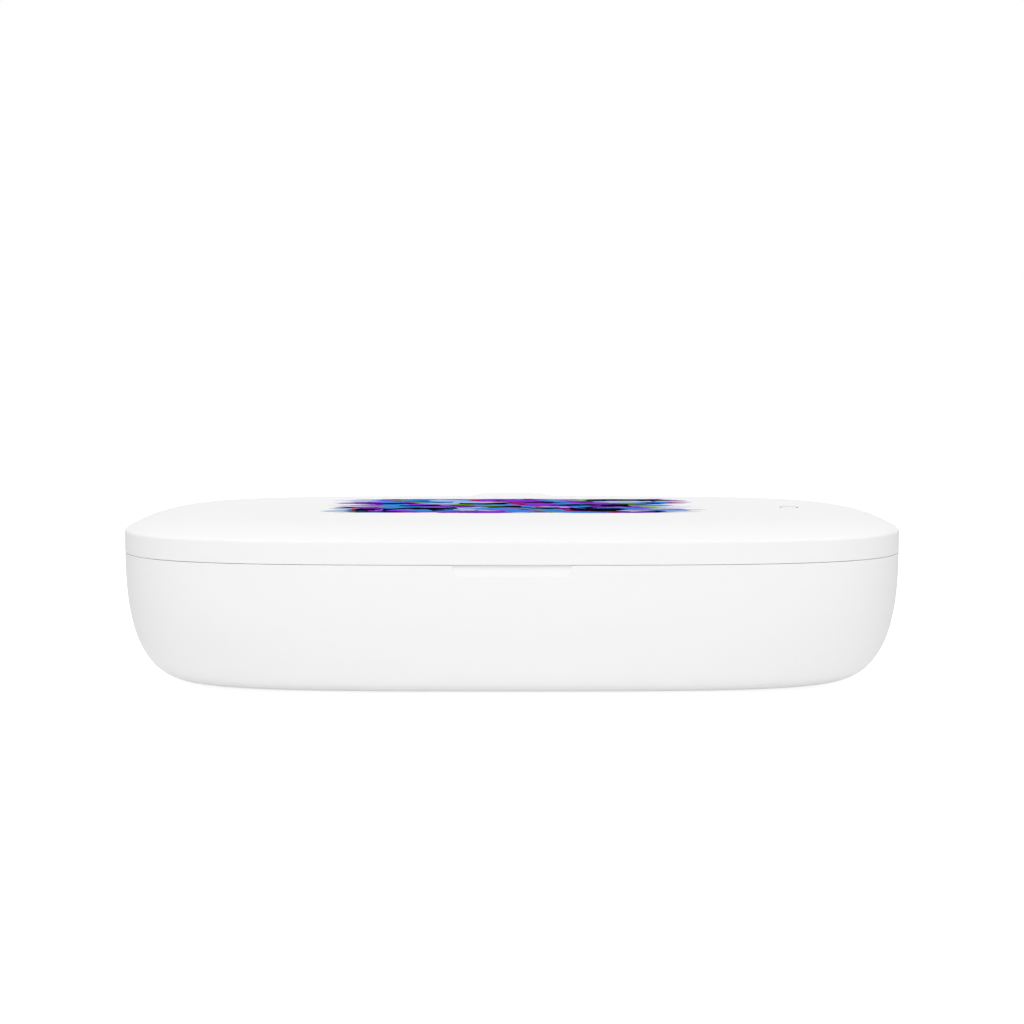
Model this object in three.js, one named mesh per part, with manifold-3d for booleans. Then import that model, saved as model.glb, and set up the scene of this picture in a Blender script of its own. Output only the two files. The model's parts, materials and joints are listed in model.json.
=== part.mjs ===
// A phone sanitizer box with an ultraviolet lid: a soft white bowl, closed by a low domed lid on a
// central rear hinge. The bowl holds a mirrored tray for a phone. The lid holds the lamps, the
// electronics, a wireless charging coil and a small push button.
// Millimetres, +X right, +Y to the rear, +Z up. The origin is on the surface that the feet stand on,
// under the middle of the box's overall length and depth.

import * as THREE from "three";
import { mergeVertices } from "three/addons/utils/BufferGeometryUtils.js";
import Module from "manifold-3d";

const wasm = await Module();
wasm.setup();

// Driving dimensions
const boxWidth = 215;
const boxDepth = 118;
const planPower = 3.8; // how square the outline is from above: 2 is an ellipse
const footProud = 0.5; // the feet hold the bowl this far off the surface
const seamHeight = 37.35; // middle of the seam between bowl and lid, above the bowl's underside
const seamGap = 0.2;
const lidSideHeight = 6.15; // from the seam up to the edge where the dome starts
const domeRise = 3.4;
const shellWall = 2.4;
const lidTopWall = 2;
const slimGap = 0.1; // between flat faces that rest on each other
const looseGap = 0.3; // between pieces that pass each other
const cutOverrun = 3; // how far a cutter runs past the face it opens

const halfWidth = boxWidth / 2;
const halfDepth = boxDepth / 2;
const bowlBottomZ = footProud;
const seamZ = bowlBottomZ + seamHeight;
const rimZ = seamZ - seamGap / 2;
const lidBottomZ = seamZ + seamGap / 2;
const creaseZ = seamZ + lidSideHeight;
const lidTopZ = creaseZ + domeRise;

// How finely round shapes are divided
const ringPoints = 96;
const roundSides = 24;
const smallSides = 12;
const leadSides = 6;
const leadQuarters = 3;

// Materials
function plastic(colour, roughness) {
  return new THREE.MeshStandardMaterial({ color: colour, roughness, metalness: 0 });
}
function metal(colour, roughness) {
  return new THREE.MeshStandardMaterial({ color: colour, roughness, metalness: 1 });
}
const whitePlastic = plastic(0xf2f2f2, 0.45);
const linerPlastic = plastic(0xd9dbdd, 0.35);
const mirrorSheet = metal(0xe4e6e8, 0.08);
const steel = metal(0xb9bcc0, 0.3);
const magnetPlate = metal(0xa6a8ab, 0.35);
const siliconeGrey = plastic(0xb4b8bb, 0.7);
const railSilicone = plastic(0xe9ecee, 0.5);
const footRubber = plastic(0x3a3b3d, 0.85);
const boardGreen = plastic(0x1d5a3c, 0.5);
const chipBlack = plastic(0x1c1c1e, 0.5);
const lampCeramic = plastic(0xe8e2c8, 0.3);
const lampWindow = new THREE.MeshStandardMaterial({
  color: 0xe6eef5,
  roughness: 0.05,
  transparent: true,
  opacity: 0.4,
});
const copper = metal(0xb56a3c, 0.4);
const ferriteDark = plastic(0x45464a, 0.6);
const leadSleeve = plastic(0xc8352e, 0.6);

// Solids and meshes

const mergeReach = 1e-4; // points of one mesh that are closer than this are one point

function solidOf(geometry) {
  const bare = geometry.index ? geometry.toNonIndexed() : geometry.clone();
  bare.deleteAttribute("normal");
  bare.deleteAttribute("uv");
  const merged = mergeVertices(bare, mergeReach);
  return new wasm.Manifold(
    new wasm.Mesh({
      numProp: 3,
      vertProperties: merged.attributes.position.array,
      triVerts: new Uint32Array(merged.index.array),
    }),
  );
}

function geometryOf(solid) {
  const made = solid.getMesh();
  const positions = new Float32Array(made.numVert * 3);
  for (let i = 0; i < made.numVert; i++) {
    positions.set(made.vertProperties.subarray(i * made.numProp, i * made.numProp + 3), i * 3);
  }
  const indexed = new THREE.BufferGeometry();
  indexed.setAttribute("position", new THREE.BufferAttribute(positions, 3));
  indexed.setIndex(new THREE.BufferAttribute(made.triVerts, 1));
  const flat = indexed.toNonIndexed();
  flat.computeVertexNormals();
  return flat;
}

function addPiece(group, name, solid, material, place = [0, 0, 0]) {
  const mesh = new THREE.Mesh(geometryOf(solid), material);
  mesh.name = name;
  mesh.position.set(...place);
  group.add(mesh);
  return mesh;
}

// A superellipse ring, counterclockwise from above.
function superRing(halfX, halfY, z) {
  const points = [];
  for (let i = 0; i < ringPoints; i++) {
    const turn = (i / ringPoints) * 2 * Math.PI;
    const c = Math.cos(turn);
    const s = Math.sin(turn);
    const x = halfX * Math.sign(c) * Math.abs(c) ** (2 / planPower);
    const y = halfY * Math.sign(s) * Math.abs(s) ** (2 / planPower);
    points.push(new THREE.Vector3(x, y, z));
  }
  return points;
}

// A rounded rectangle with as many points as a superRing, starting at the same side.
function roundedRing(halfX, halfY, cornerRadius, z) {
  const quarter = ringPoints / 4;
  const corner = [];
  for (let i = 0; i <= quarter; i++) {
    const turn = THREE.MathUtils.clamp((i - 1) / (quarter - 2), 0, 1) * (Math.PI / 2);
    const x = i === quarter ? 0 : halfX - cornerRadius * (1 - Math.cos(turn));
    const y = i === 0 ? 0 : halfY - cornerRadius * (1 - Math.sin(turn));
    corner.push([x, y]);
  }
  const points = [];
  const signs = [[1, 1], [-1, 1], [-1, -1], [1, -1]];
  signs.forEach(([signX, signY], q) => {
    for (let i = 0; i < quarter; i++) {
      const [x, y] = corner[q % 2 ? quarter - i : i];
      points.push(new THREE.Vector3(signX * x, signY * y, z));
    }
  });
  return points;
}

// A closed body through rings of equally many points. Rings that rise face outwards, and rings that
// fall again inside them face the hollow. A looped loft joins its last ring to its first.
function loft(rings, looped = false) {
  const count = rings[0].length;
  const positions = rings.flat().flatMap((p) => [p.x, p.y, p.z]);
  const index = [];
  const bands = looped ? rings.length : rings.length - 1;
  for (let k = 0; k < bands; k++) {
    const low = k * count;
    const high = ((k + 1) % rings.length) * count;
    for (let i = 0; i < count; i++) {
      const j = (i + 1) % count;
      index.push(low + i, low + j, high + j, low + i, high + j, high + i);
    }
  }
  if (!looped) {
    const first = rings.length * count;
    const last = first + 1;
    const top = (rings.length - 1) * count;
    positions.push(0, 0, rings[0][0].z, 0, 0, rings[rings.length - 1][0].z);
    for (let i = 0; i < count; i++) {
      const j = (i + 1) % count;
      index.push(first, j, i, last, top + i, top + j);
    }
  }
  const geometry = new THREE.BufferGeometry();
  geometry.setAttribute("position", new THREE.BufferAttribute(new Float32Array(positions), 3));
  geometry.setIndex(index);
  return solidOf(geometry);
}

function block(lowX, highX, lowY, highY, lowZ, highZ) {
  const geometry = new THREE.BoxGeometry(highX - lowX, highY - lowY, highZ - lowZ);
  geometry.translate((lowX + highX) / 2, (lowY + highY) / 2, (lowZ + highZ) / 2);
  return solidOf(geometry);
}

// An upright cylinder, or a cone frustum where the two radii differ.
function post(radius, lowZ, highZ, x = 0, y = 0, sides = smallSides, topRadius = radius) {
  const geometry = new THREE.CylinderGeometry(topRadius, radius, highZ - lowZ, sides);
  geometry.rotateX(Math.PI / 2);
  geometry.translate(x, y, (lowZ + highZ) / 2);
  return solidOf(geometry);
}

// A cylinder along X.
function rodAlongX(radius, lowX, highX, y, z, sides = roundSides) {
  const geometry = new THREE.CylinderGeometry(radius, radius, highX - lowX, sides);
  geometry.rotateZ(-Math.PI / 2);
  geometry.translate((lowX + highX) / 2, y, z);
  return solidOf(geometry);
}

// A side profile, given as [y, z] points, drawn out along X.
function drawnAlongX(profile, lowX, highX) {
  const shape = new THREE.Shape(profile.map(([y, z]) => new THREE.Vector2(y, z)));
  const geometry = new THREE.ExtrudeGeometry(shape, { depth: highX - lowX, bevelEnabled: false });
  geometry.rotateX(Math.PI / 2);
  geometry.rotateZ(Math.PI / 2);
  geometry.translate(lowX, 0, 0);
  return solidOf(geometry);
}

// A flat plate with its outline given as [x, y] points.
function plate(outline, lowZ, highZ) {
  const shape = new THREE.Shape(outline.map(([x, y]) => new THREE.Vector2(x, y)));
  const geometry = new THREE.ExtrudeGeometry(shape, { depth: highZ - lowZ, bevelEnabled: false });
  geometry.translate(0, 0, lowZ);
  return solidOf(geometry);
}

function joined(solids) {
  return solids.reduce((sum, solid) => sum.add(solid));
}

function without(solid, cutters) {
  return cutters.reduce((rest, cutter) => rest.subtract(cutter), solid);
}

const mirrored = (x) => [-x, x];

// Bowl outline: the side curves in below the seam, more at the front and rear than at the ends
const bowlCurveHeight = 39.2;
const bowlCurvePower = 2.78;
const bowlInsetEnds = 20.8;
const bowlInsetFront = 30.2;
const bowlSteps = 10;
const innerSteps = 5; // the hidden inner faces are divided more coarsely

// One ring of the bowl. Turn runs from a quarter circle at the underside to 0 at the top.
function bowlRing(turn, wall) {
  const drawnIn = 1 - Math.cos(turn) ** (2 / bowlCurvePower);
  const rise = 1 - Math.sin(turn) ** (2 / bowlCurvePower);
  const halfX = halfWidth - wall - bowlInsetEnds * drawnIn;
  const halfY = halfDepth - wall - bowlInsetFront * drawnIn;
  return superRing(halfX, halfY, bowlBottomZ + wall + (bowlCurveHeight - wall) * rise);
}

function turnAtHeight(z, wall) {
  const rise = (z - bowlBottomZ - wall) / (bowlCurveHeight - wall);
  return Math.asin((1 - rise) ** (bowlCurvePower / 2));
}

// Hinge: the bowl's two ears hold a pin, and the lid's knuckle turns on it between them
const hingeRadius = 4;
const hingeTopDrop = 0.45; // the barrel's top is this far below the lid's highest point
const axisInset = 0.5; // the axis is this far inside the rear of the outline
const knuckleHalfWidth = 7;
const earEndX = 16.8;
const earShoulderX = 8.6;
const earEndRadius = 2.5;
const earTaperPower = 1.4; // above 1 the taper is hollow
const earSteps = 5;
const earSideGap = 0.2; // between the knuckle and each ear
const pinRadius = 1.25;
const pinFit = 0.05;
const pinRecess = 0.6; // the pin's ends lie this far inside the ears' ends
const reliefGap = 0.5;
const wellWall = 1.2;
const saddleReach = 12; // how far below the rim the ears' shared foot runs down the rear wall
const saddleSink = 1; // how deep its lower end lies in the wall
const saddleShare = 0.55; // its width at the lower end, of its width at the axis
const saddleSteps = 8;
const neckRun = 3; // the knuckle's neck runs this far onto the dome
const axisY = halfDepth - axisInset;
const axisZ = lidTopZ - hingeTopDrop - hingeRadius;

// The barrel's taper, from the shoulder to the end: distances from the middle and radii.
function earTaper() {
  const taper = [];
  for (let i = 0; i <= earSteps; i++) {
    const share = i / earSteps;
    const x = THREE.MathUtils.lerp(earShoulderX, earEndX, share);
    taper.push([x, THREE.MathUtils.lerp(earEndRadius, hingeRadius, (1 - share) ** earTaperPower)]);
  }
  return taper;
}

// Half of the barrel, turned about the hinge axis and grown all over by grow.
function earTurning(grow, lowX) {
  const outline = [[0, lowX], [hingeRadius + grow, lowX]];
  for (const [x, radius] of earTaper()) {
    outline.push([radius + grow, x + grow]);
  }
  outline.push([0, earEndX + grow]);
  const geometry = new THREE.LatheGeometry(outline.map(([r, x]) => new THREE.Vector2(r, x)), roundSides);
  geometry.rotateZ(-Math.PI / 2);
  geometry.translate(0, axisY, axisZ);
  return solidOf(geometry);
}

function bothWays(solid) {
  return solid.add(solid.mirror([1, 0, 0]));
}

// The foot that carries both ears: a swelling of the bowl's rear wall that widens upwards.
function hingeSaddle() {
  const wallY = halfDepth - shellWall / 2;
  const side = earTaper().reverse();
  const rear = [...side, ...earTaper().map(([x, radius]) => [-x, radius])];
  const sunkShare = (shellWall / 2 - saddleSink) / (axisY + hingeRadius - wallY);
  const rings = [];
  for (let k = 0; k <= saddleSteps; k++) {
    const swell = (1 - Math.cos((k / saddleSteps) * Math.PI)) / 2;
    const spread = THREE.MathUtils.lerp(saddleShare, 1, swell);
    const reach = THREE.MathUtils.lerp(sunkShare, 1, swell);
    const z = THREE.MathUtils.lerp(rimZ - saddleReach, axisZ, k / saddleSteps);
    const front = mirrored(earEndX * spread).map((x) => new THREE.Vector3(x, -shellWall / 2, z));
    rings.push([
      ...front,
      ...rear.map(([x, r]) => new THREE.Vector3(x * spread, (axisY + r - wallY) * reach, z)),
    ]);
  }
  return loft(rings).translate([0, wallY, 0]);
}

function hingeEars() {
  const earStartX = knuckleHalfWidth + earSideGap;
  const knuckleRoom = rodAlongX(hingeRadius + reliefGap, -earStartX, earStartX, axisY, axisZ);
  return bothWays(earTurning(0, earStartX)).add(hingeSaddle().subtract(knuckleRoom));
}

// Room for the ears and their foot in the lid, the same all round the axis so that the lid can turn.
function hingeRelief() {
  const reliefEndX = earEndX + reliefGap;
  const round = bothWays(earTurning(reliefGap, 0));
  const frontY = axisY - hingeRadius - reliefGap;
  const below = block(
    -reliefEndX,
    reliefEndX,
    frontY,
    halfDepth + cutOverrun,
    lidBottomZ - cutOverrun,
    axisZ,
  );
  return round.add(below);
}

// Bowl details
const ledgeWidth = 1.6;
const ledgeDrop = 2; // the slope below the ledge that the tray sits on
const trayRecess = 2.4; // from the rim down to the tray's flange
const trayWall = 1.6;
const notchHalfWidth = 15.3;
const notchDepth = 0.6;
const notchHeight = 2.9;
const notchCorner = 2.6; // rounding of its two lower corners
const footRadius = 6;
const footInsetX = 20.7; // from where the underside starts to curve up
const footInsetY = 10.8;
const footX = halfWidth - bowlInsetEnds - footInsetX;
const footY = halfDepth - bowlInsetFront - footInsetY;
const footPocket = 0.8;
const footEdge = 0.4;
const screwFootSpacing = 22;
const screwInset = 3; // the screws stand this much nearer the middle than the feet
const baseScrewX = footX - screwFootSpacing;
const baseScrewY = footY - screwInset;
const screwHeadRadius = 2.5;
const screwHeadHeight = 1.2;
const screwRadius = 1.15;
const screwHoleGap = 0.3;
const trayTopZ = rimZ - trayRecess;
const ledgeZ = trayTopZ - trayWall - slimGap;

// The finger notch: a slanting face that starts at the surface and is deepest at the rim.
function fingerNotch() {
  const lowZ = rimZ - notchHeight;
  const run = (notchDepth / notchHeight) * cutOverrun;
  const slant = drawnAlongX(
    [
      [-halfDepth - cutOverrun, lowZ],
      [-halfDepth, lowZ],
      [-halfDepth + notchDepth + run, rimZ + cutOverrun],
      [-halfDepth - cutOverrun, rimZ + cutOverrun],
    ],
    -notchHalfWidth,
    notchHalfWidth,
  );
  const cornerX = notchHalfWidth - notchCorner;
  const outline = new THREE.Shape();
  outline.moveTo(-notchHalfWidth, -rimZ - cutOverrun);
  outline.lineTo(notchHalfWidth, -rimZ - cutOverrun);
  outline.absarc(cornerX, -lowZ - notchCorner, notchCorner, 0, Math.PI / 2);
  outline.absarc(-cornerX, -lowZ - notchCorner, notchCorner, Math.PI / 2, Math.PI);
  const depth = cutOverrun + notchDepth + run + cutOverrun;
  const front = new THREE.ExtrudeGeometry(
    outline,
    { depth, bevelEnabled: false, curveSegments: smallSides },
  );
  front.rotateX(-Math.PI / 2);
  front.translate(0, -halfDepth - cutOverrun, 0);
  return slant.intersect(solidOf(front));
}

function baseShell() {
  const rings = [];
  const topTurn = turnAtHeight(rimZ, 0);
  for (let i = 0; i <= bowlSteps; i++) {
    rings.push(bowlRing(Math.PI / 2 + (topTurn - Math.PI / 2) * (i / bowlSteps), 0));
  }
  const straightX = halfWidth - shellWall;
  const straightY = halfDepth - shellWall;
  rings.push(superRing(straightX, straightY, rimZ));
  rings.push(superRing(straightX, straightY, ledgeZ));
  rings.push(superRing(straightX - ledgeWidth, straightY - ledgeWidth, ledgeZ));
  const innerTurn = turnAtHeight(ledgeZ - ledgeDrop, shellWall);
  for (let i = 0; i <= innerSteps; i++) {
    rings.push(bowlRing(innerTurn + (Math.PI / 2 - innerTurn) * (i / innerSteps), shellWall));
  }
  const floorZ = bowlBottomZ + shellWall;
  const cutters = [fingerNotch()];
  for (const x of mirrored(footX)) {
    for (const y of mirrored(footY)) {
      cutters.push(
        post(footRadius + looseGap, bowlBottomZ - cutOverrun, bowlBottomZ + footPocket, x, y, roundSides),
      );
    }
  }
  for (const x of mirrored(baseScrewX)) {
    for (const y of mirrored(baseScrewY)) {
      const headRoom = screwHeadRadius + screwHoleGap;
      cutters.push(post(headRoom, bowlBottomZ - cutOverrun, bowlBottomZ + screwHeadHeight + slimGap, x, y));
      cutters.push(post(screwRadius + screwHoleGap, bowlBottomZ, floorZ + cutOverrun, x, y));
    }
  }
  const bore = rodAlongX(pinRadius + pinFit, -earEndX - cutOverrun, earEndX + cutOverrun, axisY, axisZ);
  return without(loft(rings), cutters).add(hingeEars()).subtract(bore);
}

// Tray: a deep liner with a flange on the bowl's ledge
const rimWidthEnds = 12.1; // the tray's flange, from the bowl's wall to the opening
const rimWidthSides = 10.6;
const openingHalfX = halfWidth - shellWall - rimWidthEnds;
const openingHalfY = halfDepth - shellWall - rimWidthSides;
const openingCorner = 20;
const traySlopeEnds = 5.5; // the walls lean in this far from the opening to the floor
const traySlopeSides = 5;
const floorHalfX = openingHalfX - traySlopeEnds;
const floorHalfY = openingHalfY - traySlopeSides;
const floorCorner = 16;
const chamberDepth = 25.5;
const flangeGap = 0.4;
const openingEdge = 1;
const floorEdge = 2;
const trayBossRadius = 3.2;
const bossSink = 0.5; // how far a boss runs into the wall that carries it
const trayFloorZ = trayTopZ - chamberDepth;

function chamberTray() {
  const underZ = trayFloorZ - trayWall;
  const flangeX = halfWidth - shellWall - flangeGap;
  const flangeY = halfDepth - shellWall - flangeGap;
  const outerFloorX = floorHalfX + trayWall;
  const outerFloorY = floorHalfY + trayWall;
  const outerCorner = floorCorner + trayWall;
  const rings = [
    roundedRing(outerFloorX - floorEdge, outerFloorY - floorEdge, outerCorner - floorEdge, underZ),
    roundedRing(outerFloorX, outerFloorY, outerCorner, underZ + floorEdge),
    roundedRing(
      openingHalfX + trayWall,
      openingHalfY + trayWall,
      openingCorner + trayWall,
      trayTopZ - trayWall,
    ),
    superRing(flangeX, flangeY, trayTopZ - trayWall),
    superRing(flangeX, flangeY, trayTopZ),
    roundedRing(
      openingHalfX + openingEdge,
      openingHalfY + openingEdge,
      openingCorner + openingEdge,
      trayTopZ,
    ),
    roundedRing(openingHalfX, openingHalfY, openingCorner, trayTopZ - openingEdge),
    roundedRing(floorHalfX, floorHalfY, floorCorner, trayFloorZ + floorEdge),
    roundedRing(floorHalfX - floorEdge, floorHalfY - floorEdge, floorCorner - floorEdge, trayFloorZ),
  ];
  const bosses = [];
  const bores = [];
  const bossFootZ = bowlBottomZ + shellWall + slimGap;
  for (const x of mirrored(baseScrewX)) {
    for (const y of mirrored(baseScrewY)) {
      bosses.push(post(trayBossRadius, bossFootZ, underZ + bossSink, x, y));
      bores.push(post(screwRadius + slimGap, bossFootZ - cutOverrun, underZ + bossSink, x, y));
    }
  }
  return without(joined([loft(rings), ...bosses]), bores);
}

const mirrorThickness = 0.5;
const mirrorMargin = 0.5;
const mirrorZ = trayFloorZ + slimGap;

function floorReflector() {
  const reach = floorEdge + mirrorMargin;
  const ring = (z) => roundedRing(floorHalfX - reach, floorHalfY - reach, floorCorner - reach, z);
  return loft([ring(mirrorZ), ring(mirrorZ + mirrorThickness)]);
}

// Silicone rails keep the phone off the mirror
const railWidth = 3;
const railHeight = 2.2;
const railLength = 62;
const railShares = [-0.72, -0.24, 0.24, 0.72]; // of half the floor's length
const railSides = 6;

function phoneRail() {
  const half = railWidth / 2;
  const profile = [[-half, 0], [half, 0]];
  for (let i = 0; i <= railSides; i++) {
    const turn = (i / railSides) * Math.PI;
    profile.push([half * Math.cos(turn), railHeight - half + half * Math.sin(turn)]);
  }
  const along = drawnAlongX(profile, -railLength / 2, railLength / 2);
  return along.rotate([0, 0, 90]);
}

function rubberFoot() {
  const topZ = footProud + footPocket - slimGap;
  const chamfer = post(footRadius - footEdge, 0, footEdge, 0, 0, roundSides, footRadius);
  return chamfer.add(post(footRadius, footEdge, topZ, 0, 0, roundSides));
}

// A cross-head screw that points up, with its head's lower face at zero.
const slotWidth = 0.6;
const slotLength = 2.8;
const slotDepth = 0.6;
const baseScrewLength = 6.3;
const lidScrewLength = 6;

function crossScrew(shankLength) {
  const head = post(screwHeadRadius, 0, screwHeadHeight);
  const shank = post(screwRadius, screwHeadHeight - slimGap, screwHeadHeight + shankLength);
  const long = slotLength / 2;
  const thin = slotWidth / 2;
  const slots = [
    block(-long, long, -thin, thin, -cutOverrun, slotDepth),
    block(-thin, thin, -long, long, -cutOverrun, slotDepth),
  ];
  return without(head.add(shank), slots);
}

function hingePin() {
  const endX = earEndX - pinRecess;
  return rodAlongX(pinRadius, -endX, endX, axisY, axisZ);
}

const magnetRadius = (rimWidthSides - ledgeWidth - trayWall) / 2 - looseGap;
const magnetHeight = 2.5;
const magnetX = 28;
const baseMagnetY = -openingHalfY - trayWall - looseGap - magnetRadius;

// Lid shell
const creaseRadius = 1;
const creaseSteps = 3;
const domeRun = 33; // from the outline in to where the top is flat
const domePower = 3.5;
const domeSteps = 6;
const buttonEndInset = 27.5; // from the lid's right end
const buttonX = halfWidth - buttonEndInset;
const buttonY = 0;
const buttonRadius = 2.3;
const buttonGap = 0.35;
const lidScrewInsetX = 19.5;
const lidScrewInsetY = 29;
const lidScrewX = halfWidth - lidScrewInsetX;
const lidScrewY = halfDepth - lidScrewInsetY;
const lidBossRadius = 3;
const socketX = 50;
const socketWidth = 8.94;
const socketHeight = 3.26;
const socketLength = 7.3;
const socketRise = 2.35; // from the lid's lower edge to the middle of the socket
const socketZ = lidBottomZ + socketRise;
const socketOpening = 0.2; // around the socket in the lid's rear wall
const padMargin = 1.6; // the flat pad around the socket is this much wider than the socket
const padDepth = 0.4;
const panelWall = 1.4;
const gasketHeadroom = 0.3; // above the tray's flange, with the lid closed
const panelDrop = 0.7; // the gasket reaches this far below the panel
const panelUnderZ = trayTopZ + gasketHeadroom + panelDrop;
const panelFloorZ = panelUnderZ + panelWall;

// Height of the dome above the crease, at a distance in from the outline.
function domeHeight(inset) {
  return domeRise * (1 - (1 - Math.min(inset / domeRun, 1)) ** domePower);
}

function lidOuterRings() {
  const slope = Math.atan((domeRise * domePower) / domeRun);
  const bend = Math.PI / 2 - slope;
  const reach = creaseRadius * Math.tan(bend / 2);
  const centreZ = creaseZ - reach;
  const rings = [superRing(halfWidth, halfDepth, lidBottomZ)];
  for (let i = 0; i <= creaseSteps; i++) {
    const turn = bend * (i / creaseSteps);
    const inset = creaseRadius * (1 - Math.cos(turn));
    rings.push(superRing(halfWidth - inset, halfDepth - inset, centreZ + creaseRadius * Math.sin(turn)));
  }
  const start = creaseRadius * (1 - Math.cos(bend));
  for (let i = 1; i <= domeSteps; i++) {
    const share = i / domeSteps;
    const inset = start + (domeRun - start) * share ** 2 * (2 - share);
    rings.push(superRing(halfWidth - inset, halfDepth - inset, creaseZ + domeHeight(inset)));
  }
  return rings;
}

function lidInnerRings() {
  const straightX = halfWidth - shellWall;
  const straightY = halfDepth - shellWall;
  const rings = [];
  for (let i = 0; i < innerSteps; i++) {
    const inset = (domeRun - shellWall) * (1 - i / innerSteps) ** 2;
    const z = creaseZ - lidTopWall + domeHeight(inset + shellWall);
    rings.push(superRing(straightX - inset, straightY - inset, z));
  }
  rings.push(superRing(straightX, straightY, creaseZ + domeHeight(shellWall) - lidTopWall));
  rings.push(superRing(straightX, straightY, lidBottomZ));
  return rings;
}

function lidShell() {
  const outer = lidOuterRings();
  const hollow = loft([...lidInnerRings(), ...outer]);
  const full = loft(outer);
  const well = rodAlongX(
    hingeRadius + reliefGap + wellWall,
    -earEndX - reliefGap - wellWall,
    earEndX + reliefGap + wellWall,
    axisY,
    axisZ,
  ).intersect(full);
  const topInsideZ = lidTopZ - lidTopWall;
  const bosses = [];
  const bores = [];
  for (const x of mirrored(lidScrewX)) {
    for (const y of mirrored(lidScrewY)) {
      bosses.push(post(lidBossRadius, panelFloorZ + slimGap, topInsideZ + bossSink, x, y).intersect(full));
      bores.push(post(screwRadius + slimGap, lidBottomZ - cutOverrun, topInsideZ - bossSink, x, y));
    }
  }
  const rearY = axisY - hingeRadius - reliefGap - wellWall;
  const knuckleTop = axisZ + hingeRadius;
  const neckY = rearY - neckRun;
  const neckTop = creaseZ + domeHeight(halfDepth - neckY);
  const neck = drawnAlongX(
    [
      [axisY, axisZ],
      [axisY, knuckleTop],
      [neckY, neckTop],
      [neckY, neckTop - lidTopWall],
      [rearY, axisZ],
    ],
    -knuckleHalfWidth,
    knuckleHalfWidth,
  );
  const knuckle = rodAlongX(hingeRadius, -knuckleHalfWidth, knuckleHalfWidth, axisY, axisZ);
  const buttonHole = post(
    buttonRadius + buttonGap,
    topInsideZ - cutOverrun,
    lidTopZ + cutOverrun,
    buttonX,
    buttonY,
    roundSides,
  );
  const bore = rodAlongX(
    pinRadius + pinFit + pinFit,
    -knuckleHalfWidth - cutOverrun,
    knuckleHalfWidth + cutOverrun,
    axisY,
    axisZ,
  );
  const halfHole = socketWidth / 2 + socketOpening;
  const wallY = halfDepth - shellWall - cutOverrun;
  const socketHole = block(
    socketX - halfHole,
    socketX + halfHole,
    wallY,
    halfDepth + cutOverrun,
    socketZ - socketHeight / 2 - socketOpening,
    socketZ + socketHeight / 2 + socketOpening,
  );
  const pad = block(
    socketX - halfHole - padMargin,
    socketX + halfHole + padMargin,
    rearWallY(socketX + halfHole + padMargin) - padDepth,
    halfDepth + cutOverrun,
    lidBottomZ - cutOverrun,
    creaseZ + cutOverrun,
  );
  const shell = without(
    joined([hollow, well, ...bosses]),
    [hingeRelief(), ...bores, buttonHole, pad, socketHole],
  );
  return joined([shell, knuckle, neck]).subtract(bore);
}

// Where the outline's rear side lies at a distance from the middle.
function rearWallY(x) {
  return halfDepth * (1 - (x / halfWidth) ** planPower) ** (1 / planPower);
}

// Lid panel: a shallow pan that closes the lid from below and dips into the bowl's rim
const panelFlangeWall = 1.6;
const gasketWidth = 1.6;
const gasketWallGap = 1;
const lampShare = 0.387; // of half the opening's length
const lampX = lampShare * openingHalfX;
const slotHalfLength = 18.5;
const slotHalfWidth = 3.6;
const lampWindowMargin = 2;
const lampWindowThickness = 1;
const standoffHeight = 2.5;
const boardZ = panelFloorZ + standoffHeight;
const boardThickness = 1;
const standoffRadius = 1.6;
const stakeRadius = 0.7;
const stakeProud = 0.4;
const stakeGap = 0.2;
const lampBoardHalfLength = 27;
const lampBoardHalfWidth = 5.5;
const lampStakeInset = 2.5;
const panelFlangeZ = lidBottomZ + slimGap;
const panelPanX = halfWidth - shellWall - gasketWallGap - gasketWidth;
const panelPanY = halfDepth - shellWall - gasketWallGap - gasketWidth;
const lidMagnetY = looseGap + panelWall + magnetRadius - panelPanY;

// The main board carries the button's switch, and a charging socket at its rear edge.
const boardGap = 3;
const boardHalfY = 17;
const boardEndX = openingHalfX;
const boardInnerX = lampX + lampBoardHalfLength + boardGap;
const boardRearInset = 3.1;
const boardRearY = halfDepth - shellWall - boardRearInset;
const bossRoom = 6; // the board keeps this far from a lid screw, along each side
const armHalfWidth = 11; // of the board's arm round the charging socket
const armFrontY = boardRearY - socketLength - 2 * bossRoom - boardGap;
const stakeInset = 4;
const stakeSpacing = 14;
const mainBoardOutline = [
  [boardInnerX, -boardHalfY],
  [boardEndX, -boardHalfY],
  [boardEndX, lidScrewY - 2 * bossRoom],
  [lidScrewX - bossRoom, lidScrewY - bossRoom],
  [lidScrewX - bossRoom, lidScrewY + bossRoom],
  [socketX + armHalfWidth + bossRoom, boardRearY - bossRoom],
  [socketX + armHalfWidth, boardRearY],
  [socketX - armHalfWidth, boardRearY],
  [socketX - armHalfWidth, armFrontY],
  [boardInnerX, armFrontY],
];
const mainStakes = [
  [boardEndX - stakeInset - stakeSpacing, stakeInset - boardHalfY],
  [boardEndX - stakeInset, stakeInset - boardHalfY],
  [boardInnerX + stakeInset, armFrontY - stakeInset],
  [socketX - armHalfWidth + stakeInset, armFrontY + stakeInset],
];
const chargingBoardOutline = [
  [-boardEndX, -boardHalfY],
  [-boardInnerX, -boardHalfY],
  [-boardInnerX, boardHalfY],
  [-boardEndX, boardHalfY],
];
const chargingStakes = mirrored(boardHalfY - stakeInset).flatMap((y) => [
  [stakeInset - boardEndX, y],
  [stakeInset + stakeSpacing - boardEndX, y],
]);

function lampStakes(side) {
  return mirrored(lampBoardHalfLength - lampStakeInset).map((x) => [side * lampX + x, 0]);
}

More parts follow.
